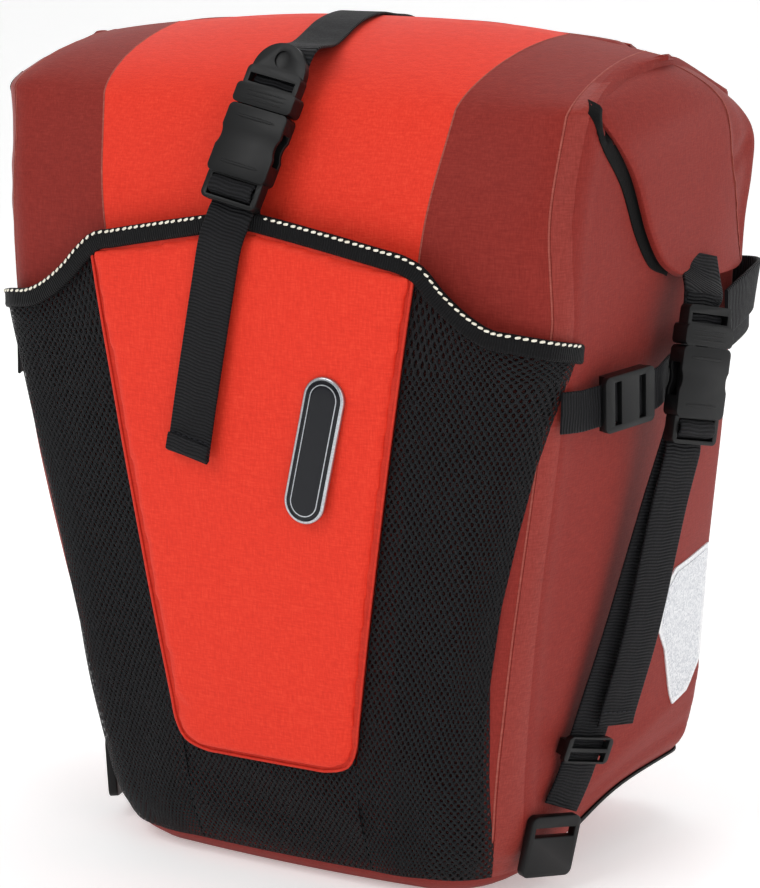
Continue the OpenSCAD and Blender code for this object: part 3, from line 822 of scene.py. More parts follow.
    @staticmethod
    def relief(points: Array) -> Array:
        """Soft hollows and swells of filled cloth, in millimetres, from where the points are.

        Args:
            points: points of the smooth skin.

        Returns:
            How far each point moves out.
        """
        x, y, z = points[..., 0], points[..., 1], points[..., 2]
        swell = (0.8 * np.sin(x / 47 + 0.6) * np.cos(z / 61 + y / 83) + 0.6 * np.sin(z / 33 + x / 71 + y / 29)
                 + 0.35 * np.sin(y / 17 - z / 41 + x / 90) + 0.3 * np.sin(x / 19 + z / 27))
        fade = np.clip(z / 40, 0.15, 1)
        return swell * fade

    def point(self, c: Array, t: Array, away: Array = 0.0, side: int = 1) -> Array:
        """Points of the finished skin.

        Args:
            c: columns, 0 to 14.
            t: heights in millimetres; each 100 above the wall's top is one whole rise to the ridge.
            away: how far outside the skin.
            side: 1 for the right half and -1 for the left.

        Returns:
            The points in millimetres.
        """
        c, t, away = np.broadcast_arrays(np.asarray(c, float), np.asarray(t, float), np.asarray(away, float))
        v = np.clip((t - BODY_TOP) / 100, 0, 1)
        sign = np.array([side, 1, 1])
        base = np.where((v > 0)[..., None], self.gable(c, v), self.wall(c, t)) * sign
        push = away + self.relief(base) + self.tuck(c, t) + self.folds(c, t)
        shaped = np.where((v > 0)[..., None], self.gable(c, v, push), self.wall(c, t, push))
        return shaped * sign

    @staticmethod
    def tuck(c: Array, t: Array) -> Array:
        """The gusset's hollow under the folded ear, deepest along the ear's front edge.

        Args:
            c: columns, 0 to 14.
            t: heights, as in point.

        Returns:
            How far the skin moves out, which is negative in the hollow.
        """
        edge_c = np.interp(t, [300, 312, 330, 361, 381, 393, 412], [10.3, 9.9, 9.4, 8.95, 8.2, 7.0, 6.8])
        into = np.clip((c - edge_c + 0.12) / 0.28, 0, 1)
        depth = np.interp(t, [285, 312, 345, 385, 405, 425], [0, 5, 7, 5, 2, 0])
        fade = np.clip((11.6 - c) / 1.2, 0, 1)
        return -depth * into * into * (3 - 2 * into) * fade

    @staticmethod
    def folds(c: Array, t: Array) -> Array:
        """Creases near the foot of the gusset and small puckers beside the weld.

        Args:
            c: columns, 0 to 14.
            t: heights, as in point.

        Returns:
            How far the skin moves out.
        """
        low = np.exp(-((t - 34 - 7 * (c - 9.5)) / 9) ** 2) * np.clip(c - 8, 0, 1) * np.clip(12 - c, 0, 1)
        second = np.exp(-((t - 62 - 16 * (c - 10)) / 7) ** 2) * np.clip(c - 9, 0, 1) * np.clip(12 - c, 0, 1)
        pucker = 0.35 * np.sin(t / 3.1) * np.exp(-((t - 345) / 26) ** 2) * np.exp(-((c - 6.6) / 0.5) ** 2)
        square = 3.2 * np.exp(-((t - 402) / 20) ** 2) * np.clip(c - 3, 0, 1) * np.clip(9.5 - c, 0, 1)
        return -1.6 * low + 1.1 * second + pucker + square

    def on_wall(self, y: Array, z: Array, away: Array, side: int) -> Array:
        """Points of the wall between the front corner and the back corner at given depths and heights.

        Args:
            y: depths in millimetres.
            z: heights in millimetres.
            away: how far outside the skin.
            side: 1 for the right half and -1 for the left.

        Returns:
            The points in millimetres.
        """
        cols = np.linspace(5, 12.2, 145)
        y, z, away = np.broadcast_arrays(np.asarray(y, float), np.asarray(z, float), np.asarray(away, float))
        # Near its foot the rise to the ridge gains 1 mm for each 2.9 units.
        t = np.where(z > BODY_TOP, BODY_TOP + 2.9 * (z - BODY_TOP), z)
        out = np.zeros(y.shape + (3,))
        for k in np.ndindex(y.shape):
            line = self.point(cols, t[k], away=away[k], side=side)
            out[k] = self.point(float(np.interp(y[k], line[:, 1], cols)), t[k], away=away[k], side=side)
        return out


@dataclass
class BagShell:
    """The welded shell: bright middle panel, brick-red corners, gussets, back and bottom."""

    form: BagForm
    looks: Palette
    thick: float = 1.6
    foot: float = 10.0

    def rows(self) -> Array:
        """Heights of the wall's rows and, past the wall's top, of the rise to the ridge."""
        wall = np.concatenate([[self.foot], np.arange(14, BODY_TOP - 4, 5.0), [BODY_TOP - 2]])
        return np.concatenate([wall, BODY_TOP + np.array([1, 6, 12, 20, 30, 42, 56, 70, 82, 92, 100])])

    def build(self) -> None:
        """Build every panel and the welds between them."""
        rows = self.rows()
        cols = np.linspace(0, 2, 15)
        up = self.mirrored(cols, rows)
        back_cols = BRIGHT_BACK + (MIDDLE_BACK - BRIGHT_BACK) * (1 - cols / 2)
        down = self.mirrored(back_cols, rows[rows > BODY_TOP][::-1][1:])
        strip = np.concatenate([up, down])
        self.panel("bag_front_and_top_bright", strip, np.array([0, -900, 900]), self.looks.bright,
                   ("front_panel", "roll_top"))
        for side, word in SIDES:
            fine = np.concatenate([np.linspace(2, 4, 9), np.linspace(4, 6, 7)[1:]])
            grid = self.form.point(fine[None], rows[:, None], side=side)
            self.panel(f"bag_front_corner_{word}", grid, np.array([side * 900, -900, 300]), self.looks.dark,
                       (f"front_corner_{word}",))
            fine = np.concatenate([np.linspace(6, 8, 9), np.linspace(8, 11, 34)[1:],
                                   np.linspace(11, BRIGHT_BACK, 12)[1:]])
            grid = self.form.point(fine[None], rows[:, None], side=side)
            self.panel(f"bag_gusset_{word}", grid, np.array([side * 2000, 60, 250]), self.looks.dark,
                       (f"gusset_{word}",))
        grid = self.mirrored(back_cols, rows[rows < BODY_TOP + 2])
        self.panel("bag_back_panel", grid, np.array([0, 900, 250]), self.looks.dark,
                   ("back_panel",))
        self.bottom()
        self.welds(rows)
        LOG.info("bag shell built")

    def mirrored(self, cols: Array, rows: Array) -> Array:
        """A grid over both halves, from the left to the right.

        Args:
            cols: columns of one half.
            rows: heights, as in BagForm.point.

        Returns:
            The grid of points.
        """
        right = self.form.point(cols[None], rows[:, None], side=1)
        left = self.form.point(cols[None], rows[:, None], side=-1)
        return np.concatenate([left[:, ::-1], right[:, 1:]], axis=1)

    def panel(self, name: str, grid: Array, towards: Array, finish: bpy.types.Material,
              nodes: tuple) -> None:
        """Make one panel that stands for CAD nodes.

        Args:
            name: the panel's name.
            grid: its outer points.
            towards: a point on the outer side.
            finish: the material.
            nodes: the CAD nodes that it stands for.
        """
        obj = add_sheet(name, grid, self.thick, towards, finish)
        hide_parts(*nodes)
        LOG.info("%s", name)

    def bottom(self) -> None:
        """Make the bottom, which turns up round its edge to meet the walls."""
        cols = np.concatenate([np.linspace(0, 4, 18), np.linspace(4, 8, 12)[1:], np.linspace(8, 11, 16)[1:],
                               np.linspace(11, 13, 8)[1:], np.linspace(13, 14, 8)[1:]])
        heights = np.array([self.foot, 7.5, 5.0, 3.0, 1.4, 0.4])
        rise = self.mirrored(cols, heights)
        inner = []
        for share in (0.95, 0.85, 0.7, 0.5, 0.3, 0.12, 0.01):
            ring = rise[-1].copy()
            ring[:, 0] *= share
            ring[:, 1] = 12 + (ring[:, 1] - 12) * share
            ring[:, 2] = 0.3 + 0.8 * (1 - share) + self.form.rise(ring[:, 1])
            inner.append(ring)
        grid = np.concatenate([rise, np.array(inner)])
        self.panel("bag_bottom_panel", grid, np.array([0, 0, -900]), self.looks.dark,
                   ("bottom_panel",))

    def welds(self, rows: Array) -> None:
        """Lay the pale cut edges and the glossier welded bands over the panel borders.

        Args:
            rows: heights of the wall's rows.
        """
        dense = np.interp(np.linspace(0, len(rows) - 1, 3 * len(rows)), np.arange(len(rows)), rows)
        for side, word in SIDES:
            out = np.array([side * 900, -900, 300])
            for name, column, half in (("front", 2.0 + 0 * dense, 0.45),
                                       ("corner", CORNER_WELD + self.drift(dense), 0.5)):
                grid = self.strip(column, dense, half, 0.3, side)
                add_sheet(f"weld_line_{name}_{word}", grid, 0.8, out, self.looks.weld_line)
            # The band beside the corner weld is 12 mm wide and lies on the gusset side of the line.
            cols = np.linspace(6.08, 7.15, 6)
            span = dense[dense < BODY_TOP + 45]
            grid = self.form.point(cols[None] + self.drift(span)[:, None], span[:, None], away=0.3, side=side)
            add_sheet(f"weld_band_corner_{word}", grid, 0.8, out, self.looks.weld)
            low = dense[dense < BODY_TOP]
            grid = self.strip(BACK_WELD + 0 * low, low, 3.0, 0.3, side)
            add_sheet(f"weld_band_back_{word}", grid, 0.8, np.array([side * 900, 900, 300]), self.looks.weld)

    @staticmethod
    def drift(rows: Array) -> Array:
        """How far the corner weld leaves its column toward the front, near the top."""
        return np.interp(rows, [300, 345, 393, 420, 493], [0, -0.5, -0.85, -0.6, -0.1])

    def strip(self, column: Array, rows: Array, half: float, away: float, side: int) -> Array:
        """A narrow grid of a given half width in millimetres along one column.

        Args:
            column: the column at each height.
            rows: the heights.
            half: half of the width.
            away: how far outside the skin.
            side: 1 for the right half and -1 for the left.

        Returns:
            The grid, three points wide.
        """
        middle = self.form.point(column, rows, away=away, side=side)
        step = 0.03
        after = self.form.point(column + step, rows, away=away, side=side)
        across = unit(after - middle)
        offsets = np.array([-half, 0.0, half])
        grid = middle[:, None] + across[:, None] * offsets[None, :, None]
        grid[:, [0, 2]] -= 0.25 * unit(middle - np.array([0, 10, 250]))[:, None]
        return grid


@dataclass
class RolledTop:
    """The rolled closure: folded ears on both ends and the rolled hem behind the ridge."""

    form: BagForm
    looks: Palette
    rows: int = 34
    cols: int = 30
    top_edge: tuple = ((152, -72, 400), (153, -46, 406), (154, -18, 411), (155, 8, 413.5), (156, 34, 411),
                       (156, 58, 404), (154, 78, 397))
    bottom_edge: tuple = ((174, 10, 310), (175, 32, 306.5), (176, 56, 304.5), (175, 78, 304), (173, 92, 305))
    front_edge: tuple = ((152, -72, 400), (160, -72, 397), (166.5, -58, 382), (169, -38, 362),
                         (170.5, -20, 333),
                         (172, -6, 317.5), (174, 10, 310))
    back_edge: tuple = ((154, 78, 397), (162, 88, 391), (169, 97, 382), (173, 103, 371), (174, 99, 352),
                        (174, 92, 330), (173, 92, 305))

    def build(self) -> None:
        """Build the ears, the seam on each and the rolled hem."""
        for side, word in SIDES:
            self.ear(side, word)
            self.slit(side, word)
        self.rolled_hem()
        LOG.info("rolled top built")

    def surface(self, away: float = 0.0) -> Array:
        """The outer surface of the right ear as a patch between its four edges.

        Args:
            away: how far outside the ear, in millimetres.

        Returns:
            The grid of points.
        """
        def sample(edge: tuple, count: int) -> Array:
            """Space points evenly along an edge.

            Args:
                edge: the edge's own points.
                count: how many points to give.

            Returns:
                The new points.
            """
            line = smooth_path(list(edge), 1.0)
            length = run_length(line)
            at = np.linspace(0, length[-1], count)
            return np.stack([np.interp(at, length, line[:, k]) for k in range(3)], axis=1)

        top, low = sample(self.top_edge, self.cols), sample(self.bottom_edge, self.cols)
        front, back = sample(self.front_edge, self.rows), sample(self.back_edge, self.rows)
        u = np.linspace(0, 1, self.cols)[None, :, None]
        v = np.linspace(0, 1, self.rows)[:, None, None]
        patch = ((1 - v) * top[None] + v * low[None] + (1 - u) * front[:, None] + u * back[:, None]
                 - (1 - u) * (1 - v) * top[0] - u * (1 - v) * top[-1]
                 - (1 - u) * v * low[0] - u * v * low[-1])
        # The patch stands out over the ridge's end and then hangs down flat.
        belly = np.sin(np.pi * np.clip(v * 1.15, 0, 1)) ** 0.8 * np.sin(np.pi * u) ** 0.7
        shoulder = np.exp(-((v - 0.2) / 0.15) ** 2) * np.sin(np.pi * u) ** 0.6
        patch[..., 0:1] += 2.6 * belly + 6.0 * shoulder
        # Behind the seam lies the fold's under layer, with a crease that runs up to its corner.
        behind = (np.clip((u - self.seam_share(v)) / 0.03, 0, 1) * np.clip(v * 4, 0, 1)
                  * np.clip((1 - u) * 12, 0, 1))
        patch[..., 0:1] -= 3.0 * behind
        off = ((patch[..., 1:2] - 61) * -19 + (patch[..., 2:3] - 353) * 42) / 46.1
        patch[..., 0:1] -= 2.2 * np.exp(-(off / 3.2) ** 2) * behind
        ripple = 0.7 * np.sin(5 * u + 3.2 * v + 0.7) * np.sin(np.pi * v)
        patch[..., 0:1] += ripple + away
        return patch

    @staticmethod
    def seam_share(v: Array) -> Array:
        """Share of the ear's width at which its seam runs, from its top to its foot."""
        return np.interp(v, [0, 0.25, 0.5, 0.75, 1], [0.60, 0.69, 0.72, 0.82, 0.95])

    def slit(self, side: int, word: str) -> None:
        """The open mouth of the fold along the ear's front edge: a black sheet laid in it is painted shadow.

        Args:
            side: 1 for the right half and -1 for the left.
            word: right or left, for the names.
        """
        path = smooth_path(list(self.front_edge[1:]), 2.0)
        path = path[:, 1:]
        way = unit(np.gradient(path, axis=0))
        front = np.stack([-way[:, 1], way[:, 0]], axis=1)
        front = np.where(front[:, :1] > 0, -front, front)
        width = np.interp(path[:, 1], [311, 318, 332, 362, 386, 397], [1.0, 3.0, 4.0, 6.0, 7.0, 3.0])[:, None]
        lines = [path - front * 5, path, path + front * width * 0.5, path + front * width]
        y, z = (np.stack([line[:, k] for line in lines], axis=1) for k in (0, 1))
        # This black sheet is painted shadow in the fold's mouth.
        painted_fold_shadow = add_sheet(f"fold_mouth_painted_shadow_{word}", self.form.on_wall(y, z, 0.8, side), 1.0,
                           np.array([side * 2000, -600, 300]), self.looks.painted_fold_shadow)
        LOG.info("%s", painted_fold_shadow.name)

    def ear(self, side: int, word: str) -> None:
        """Build one ear, its back fold and its seam line.

        Args:
            side: 1 for the right half and -1 for the left.
            word: right or left, for the names.
        """
        sign = np.array([side, 1, 1])
        patch = self.surface() * sign
        towards = np.array([side * 2000, 30, 700])
        ear = add_sheet(f"folded_ear_{word}", patch, 4.6, towards, self.looks.dark)
        soften = ear.modifiers.new("soft_edge", "SUBSURF")
        soften.levels = soften.render_levels = 1
        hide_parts(f"ear_{word}")
        column = int(self.cols * 0.74)
        lift = self.surface(0.35) * sign
        drift = (self.seam_share(np.linspace(0, 1, self.rows)) - 0.01) * (self.cols - 1)
        line = np.array([[np.interp(d, np.arange(self.cols), lift[i, :, k]) for k in range(3)]
                         for i, d in enumerate(drift)])
        line = line[1:-1]
        across = unit(np.gradient(lift, axis=1)[1:-1, column])
        normal = grid_normals(lift, towards)[1:-1, column]
        grid = line[:, None] + across[:, None] * np.array([-0.5, 0, 0.5])[None, :, None]
        grid[:, 1] += 0.2 * normal
        add_sheet(f"ear_seam_{word}", grid, 0.9, towards, self.looks.weld_line)
        LOG.info("ear %s", word)

    def rolled_hem(self) -> None:
        """The flattened roll that lies behind the ridge."""
        xs = np.linspace(-141, 141, 73)
        around = 26
        angles = np.arange(around) * 2 * np.pi / around
        points = []
        for x in xs:
            drop = RIDGE_H - float(ridge_height(x))
            end = min(1.0, (141.5 - abs(x)) / 12) ** 0.5
            wobble = 0.7 * math.sin(x / 23) + 0.4 * math.sin(x / 9 + 1)
            for a in angles:
                spiral = 1 + 0.05 * math.cos(3 * a + 0.4)
                points.append((x, 44 + 25 * math.cos(a) * spiral * end,
                               414.5 - drop + (8.5 + 0.2 * wobble) * math.sin(a) * spiral * end
                               - 11 * math.cos(a) * end + wobble * 0.5))
        obj = add_piece("rolled_hem", np.array(points), tube_faces(len(xs), around), self.looks.dark)
        seam = [(x, 41, 388 + float(ridge_height(x))) for x in np.linspace(-132, 132, 30)]
        add_strap("rolled_hem_edge", seam, np.array([0, 1, -0.35]), 9, 1.2, self.looks.weld)
        LOG.info("%s", obj.name)


# ---------------------------------------------------------------- the front pocket


@dataclass
class FrontPocket:
    """The stand-off pocket: padded centre, mesh sides and foot, bound edge and badge."""

    form: BagForm
    looks: Palette
    top: float = 334.5
    pad_top: float = 90.0
    pad_foot: float = 50.0
    pad_z: float = 66.0
    gap: float = 8.0

    def hem_z(self, x: Array) -> Array:
        """Height of the pocket's edge at a sideways place.

        Args:
            x: the place in millimetres.

        Returns:
            The height in millimetres.
        """
        u = np.abs(np.asarray(x, float))
        inner = self.top - 16.5 * (u / self.pad_top) ** 1.15
        s = np.clip((u - self.pad_top) / 46, 0, 1)
        outer = self.top - 16.5 - 32 * (1 - (1 - s) ** 1.7)
        return np.where(u < self.pad_top, inner, outer)

    def stand(self, z: Array) -> Array:
        """How far the pocket stands off the bag at a height."""
        return self.gap * np.minimum(1, 0.35 + 0.65 * np.asarray(z, float) / 60)

    def pad_x(self, z: Array) -> Array:
        """Half width of the pad at a height."""
        return self.pad_foot + (self.pad_top - self.pad_foot) * (np.asarray(z, float) - self.pad_z) / (
            self.top - 14 - self.pad_z)

    def build(self) -> None:
        """Build the pocket's parts from the bag outward."""
        self.pad()
        self.sides()
        self.mesh_foot()
        self.hem()
        self.badge()
        LOG.info("front pocket built")

    def pad_grid(self, away: float, inset: float = 0.0, rows: int = 44, cols: int = 25) -> Array:
        """A grid over the pad with rounded lower corners.

        Args:
            away: how far outside the pocket.
            inset: how far inside the pad's border.
            rows: rows of the grid.
            cols: columns of the grid.

        Returns:
            The grid of points.
        """
        radius = 13.0
        grid = np.zeros((rows, cols, 3))
        for i, s in enumerate(np.linspace(0, 1, rows)):
            guess = self.pad_z + inset + s ** 1.1 * (self.top - 14 - self.pad_z - inset)
            half = self.pad_x(guess) - inset
            rise = guess - self.pad_z - inset
            if rise < radius:
                half -= radius - math.sqrt(max(0.0, radius ** 2 - (radius - rise) ** 2))
            x = np.linspace(-1, 1, cols) * half
            z = self.pad_z + inset + s ** 1.1 * (self.hem_z(x) + 1 - inset - self.pad_z)
            grid[i] = np.stack([x, self.form.front_y(x, z, 0) - self.stand(z) - away, z], axis=1)
        return grid

    def pad(self) -> None:
        """The padded centre panel, puffed up by a short cloth simulation, and its pressed edge."""
        grid = self.pad_grid(2.8, 0.6)
        pad = add_sheet("pocket_pad", grid, 5.0, np.array([0, -900, 200]), self.looks.bright)
        puff(pad, voxel=0.0022, pressure=4.0, cap=0.0018)
        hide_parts("pocket_centre")
        flat = self.pad_grid(1.6)
        add_sheet("pocket_pad_flange", flat, 1.4, np.array([0, -900, 200]), self.looks.pad_edge)
        left, right, foot = flat[:, 0], flat[:, -1], flat[0]
        loop = np.concatenate([left[::-1], foot[1:-1], right])
        loop[:, 1] -= 0.5
        add_strap("pocket_pad_edge", loop[::2].tolist(), np.array([0, -1, 0]), 1.5, 1.6,
                  self.looks.pad_edge)

    def sides(self) -> None:
        """Mesh from each edge of the pad round to the corner weld."""
        heights = np.concatenate([[10, 13], np.linspace(17, 62, 10), np.linspace(67, 272, 40)])
        shares = np.linspace(0, 1, 34)
        for side, word in SIDES:
            grid = np.zeros((len(heights) + 6, len(shares), 3))
            for i in range(len(heights) + 6):
                for j, s in enumerate(shares):
                    grid[i, j] = self.mesh_point(i, s, heights, side)
            mesh = add_sheet(f"pocket_mesh_{word}_cloth", grid, 1.1, np.array([side * 600, -900, 200]),
                             self.looks.mesh)
            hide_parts(f"pocket_mesh_{word}")
            self.declare(mesh, grid, ["pocket_mesh_" + word])

    def mesh_point(self, i: int, s: float, heights: Array, side: int) -> Array:
        """One point of a side mesh, s from the pad to the weld.

        Args:
            i: the row.
            s: share of the way from the pad to the weld.
            heights: heights of the lower rows.
            side: 1 for the right half and -1 for the left.

        Returns:
            The point in millimetres.
        """
        reach = 90 + 62 * s
        top = float(self.hem_z(reach)) + 2 - 5 * max(0.0, (s - 0.62) / 0.38)
        z = heights[i] if i < len(heights) else heights[-1] + (top - heights[-1]) * (i - len(heights) + 1) / 6
        half, _, radius = self.form.shape(z)[:3]
        flat = half - radius
        edge = self.pad_foot if z < self.pad_z else float(self.pad_x(z)) + 0.3
        sag = (1.8 * math.sin(z / 15 + 3.2 * s + 1.4 * side) * math.exp(-((z - 70) / 60) ** 2)
               * math.sin(math.pi * s))
        wave = 0.9 * math.sin(z / 31 + 5 * s) * math.sin(math.pi * s)
        away = float(self.stand(z)) * float(np.interp(s, [0, 0.55, 0.8, 1], [1, 1, 0.72, 0.12])) + sag + wave
        if s < 0.62:
            x = edge + (flat - edge) * s / 0.62
            return np.array([side * x, float(self.form.front_y(x, z)) - away, z])
        last = float(np.interp(z, [10, 40, 80, 120, 160, 198, 230, 250, 262, 283],
                               [6.2, 6.0, 5.7, 5.3, 5.3, 5.6, 6.0, 6.5, 6.9, 7.75]))
        return self.form.wall(4 + (last - 4) * (s - 0.62) / 0.38, z, away) * np.array([side, 1, 1])

    def mesh_foot(self) -> None:
        """Mesh below the pad."""
        heights = np.linspace(10, self.pad_z + 8, 18)
        xs = np.linspace(-1, 1, 30) * (self.pad_foot + 0.3)
        grid = np.array([[(x, float(self.form.front_y(x, z)) - float(self.stand(z))
                           - 1.2 * math.sin(z / 8 + x / 19) * math.sin(math.pi * (z - 10) / 64), z)
                          for x in xs] for z in heights])
        mesh = add_sheet("pocket_mesh_foot_cloth", grid, 1.1, np.array([0, -900, 200]), self.looks.mesh)
        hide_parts("pocket_mesh_foot")
        self.declare(mesh, grid, ["pocket_mesh_foot"])

    @staticmethod
    def declare(mesh: bpy.types.Object, grid: Array, rests: list) -> None:
        """Take a mesh panel and do nothing with it.

        Args:
            mesh: the panel; not used.
            grid: its outer points, in millimetres; not used.
            rests: the CAD nodes that it lies on; not used.
        """

    def hem_line(self) -> Array:
        """The middle of the bound edge, from the left weld to the right weld.

        Returns:
            The points in millimetres.
        """
        xs = np.linspace(0, 134, 46)
        flat = np.stack([xs, self.form.front_y(xs, self.hem_z(xs)) - self.gap - 2, self.hem_z(xs) + 5],
                        axis=1)
        cols = np.linspace(4, 7.8, 9)[1:]
        away = np.linspace(self.gap + 1.5, 2.2, 9)[1:]
        corner = self.form.wall(cols, 291 - np.linspace(0, 8, 8), away)
        flat[-8:, 1] += np.linspace(0, 0.5, 8)
        right = np.concatenate([flat, corner])
        return np.concatenate([right[::-1][:-1] * np.array([-1, 1, 1]), right])

    def hem(self) -> None:
        """Binding tape with a row of bright reflective stitches along its upper edge."""
        line = self.hem_line()
        knots = line[::3].tolist() + [line[-1].tolist()]
        hem = add_strap("pocket_hem_binding", knots, np.array([0, 0, 1]), 9.5, 3.2, self.looks.binding)
        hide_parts("pocket_hem")
        path = smooth_path(knots, 0.5)
        side, out = strap_frame(path, np.array([0, 0, 1]))
        front = np.where(np.sum(out * np.array([0, -1, 0]), axis=1, keepdims=True) > 0, out, -out)
        length = run_length(path)
        at = np.arange(2.0, length[-1] - 1.5, 3.7)
        pick = [int(np.searchsorted(length, a)) for a in at]
        lift = np.where(side[:, 2:3] > 0, side, -side)
        # The closing strap presses the stitches and their cord flat where it crosses them.
        proud = 1 - np.exp(-((path[:, :1] + 6) / 17) ** 4)
        centres = path[pick] + lift[pick] * 3.6 + front[pick] * (0.3 + 1.45 * proud[pick])
        along = np.gradient(path, axis=0)[pick] + 0.10 * lift[pick]
        add_beads("pocket_reflective_stitches", centres, along, front[pick], (3.0, 1.5, 1.1),
                  self.looks.piping)
        cord = (path + lift * 3.6 + front * (0.3 + proud))[::6]
        add_strap("pocket_hem_piping", cord.tolist(), np.array([0, 0, 1]), 2.0, 1.6, self.looks.binding)
        LOG.info("pocket hem")

    def badge(self) -> None:
        """A plain raised pill with a silver rim and no marking."""
        low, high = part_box("badge")
        centre = (np.array(low) + np.array(high)) / 2 / MM
        turn = math.radians(12)
        up = np.array([math.sin(turn), 0, math.cos(turn)])
        across = np.array([math.cos(turn), 0, -math.sin(turn)])
        base_y = np.array(high)[1] / MM

        def pill(half_w: float, length: float, y: float, count: int = 24) -> list:
            """Trace one outline of the badge.

            Args:
                half_w: half of the pill's width in millimetres.
                length: the pill's length.
                y: the outline's depth.
                count: points on each round end.

            Returns:
                The outline's points.
            """
            ring = []
            straight = length / 2 - half_w
            for k in range(2 * count):
                a = math.pi * (k + 0.5) / count
                end = 1 if a < math.pi else -1
                ring.append(centre * np.array([1, 0, 1]) + np.array([0, y, 0]) + across * half_w * math.cos(a)
                            + up * (half_w * math.sin(a) + end * straight))
            return ring

        rim = [pill(11, 74, base_y), pill(11, 74, base_y - 1.6), pill(10.4, 72.8, base_y - 2.2),
               pill(9.6, 71.2, base_y - 2.2), pill(9.3, 70.6, base_y - 1.6), pill(9.3, 70.6, base_y - 0.4)]
        rim_obj = add_piece("badge_silver_rim", np.concatenate(rim), tube_faces(len(rim), 48),
                            self.looks.silver,
                            sharp=60)
        face = [pill(9.4, 70.8, base_y - 0.3), pill(9.4, 70.8, base_y - 1.4), pill(8.4, 68.8, base_y - 1.9),
                pill(5, 62, base_y - 2.15), pill(1.5, 55, base_y - 2.2)]
        fill = add_piece("badge_black_face", np.concatenate(face), tube_faces(len(face), 48),
                         self.looks.badge,
                         sharp=60)
        line = [pill(7.4, 66.8, base_y - 1.9), pill(7.4, 66.8, base_y - 2.25), pill(6.9, 65.8, base_y - 2.3),
                pill(6.9, 65.8, base_y - 1.9)]
        add_piece("badge_inner_line", np.concatenate(line), ring_faces(len(line), 48), self.looks.silver,
                  sharp=60)
        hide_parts("badge")
        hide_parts("badge")


def ring_faces(rings: int, around: int) -> list:
    """List the faces of a ring that closes on itself through all its sections.

    Args:
        rings: number of sections.
        around: points in each section.

    Returns:
        Tuples of point numbers.
    """
    return [(i * around + j, i * around + (j + 1) % around, ((i + 1) % rings) * around + (j + 1) % around,
             ((i + 1) % rings) * around + j) for i in range(rings) for j in range(around)]


def puff(obj: bpy.types.Object, voxel: float, pressure: float, cap: float) -> None:
    """Swell a padded piece with a short cloth simulation and leave only its mesh.

    Args:
        obj: the piece, already closed.
        voxel: remesh size in metres.
        pressure: cloth pressure.
        cap: the farthest that a point may move, in metres.
    """
    scene = bpy.context.scene
    fine = obj.modifiers.new("remesh", "REMESH")
    fine.mode, fine.voxel_size, fine.use_smooth_shade = "VOXEL", voxel, True
    bpy.context.view_layer.update()
    graph = bpy.context.evaluated_depsgraph_get()
    start = bpy.data.meshes.new_from_object(obj.evaluated_get(graph))
    obj.modifiers.clear()
    finish = obj.data.materials[0]
    obj.data = start
    before = np.array([v.co for v in start.vertices])
    cloth = obj.modifiers.new("cloth", "CLOTH")
    cloth.settings.use_pressure = True
    cloth.settings.uniform_pressure_force = pressure
    cloth.settings.effector_weights.gravity = 0
    cloth.settings.quality = 4
    cloth.settings.tension_stiffness = cloth.settings.compression_stiffness = 20
    for number in range(1, 21):
        scene.frame_set(number)
    bpy.context.view_layer.update()
    graph = bpy.context.evaluated_depsgraph_get()
    swollen = bpy.data.meshes.new_from_object(obj.evaluated_get(graph))
    after = np.array([v.co for v in swollen.vertices])
    obj.modifiers.clear()
    scene.frame_set(1)
    move = after - before
    # The stiff pad behind the cloth lets it swell outward only.
    move[:, 1] = np.minimum(move[:, 1], 0.0)
    far = np.linalg.norm(move, axis=1, keepdims=True)
    after = before + move * np.minimum(1, cap / np.maximum(far, 1e-9))
    swollen.vertices.foreach_set("co", after.astype(np.float32).ravel())
    obj.data = swollen
    swollen.materials.clear()
    swollen.materials.append(finish)
    swollen.polygons.foreach_set("use_smooth", [True] * len(swollen.polygons))
    even = obj.modifiers.new("even", "SMOOTH")
    even.factor, even.iterations = 0.5, 4
    fine = obj.modifiers.new("fine", "SUBSURF")
    fine.levels = fine.render_levels = 1


# ---------------------------------------------------------------- straps, buckles and fittings


@dataclass(frozen=True)
class Seat:
    """A local frame: up is along the strap and out leaves the bag."""

    origin: tuple
    up: tuple
    out: tuple

    def axes(self) -> tuple[Array, Array, Array]:
        """The X, Y and Z directions of the frame.

        Returns:
            Three unit vectors.
        """
        z = unit(np.array(self.up))
        out = np.array(self.out, float)
        y = -unit(out - np.dot(out, z) * z)
        return np.cross(y, z), y, z

    def at(self, x: float, y: float, z: float) -> Array:
        """A point given in the frame, in millimetres."""
        ax, ay, az = self.axes()
        return np.array(self.origin, float) + ax * x + ay * y + az * z


FRONT_SEAT = Seat((4, -95.5, 389), (0.2, 0.36, 0.91), (0, -0.93, 0.37))
SIDE_SEAT = Seat((181.5, 9.5, 276), (0.03, 0.2, 1), (0.94, -0.34, 0))
LOCK_Z = -34.5
# The tail's way through the ladder lock: over its middle bar and behind its lower one.
LADDER = ((-2.4, -1.2), (-6.6, -1.7), (-8.6, -3.6), (-8.7, -6.6), (-6.8, -8.8), (-2.8, -10.0), (-0.5, -12.3),
          (-0.9, -16.0))
RUN_TOP, RUN_FOOT = np.array([154, -12, 130.0]), np.array([136, -24, 58.0])


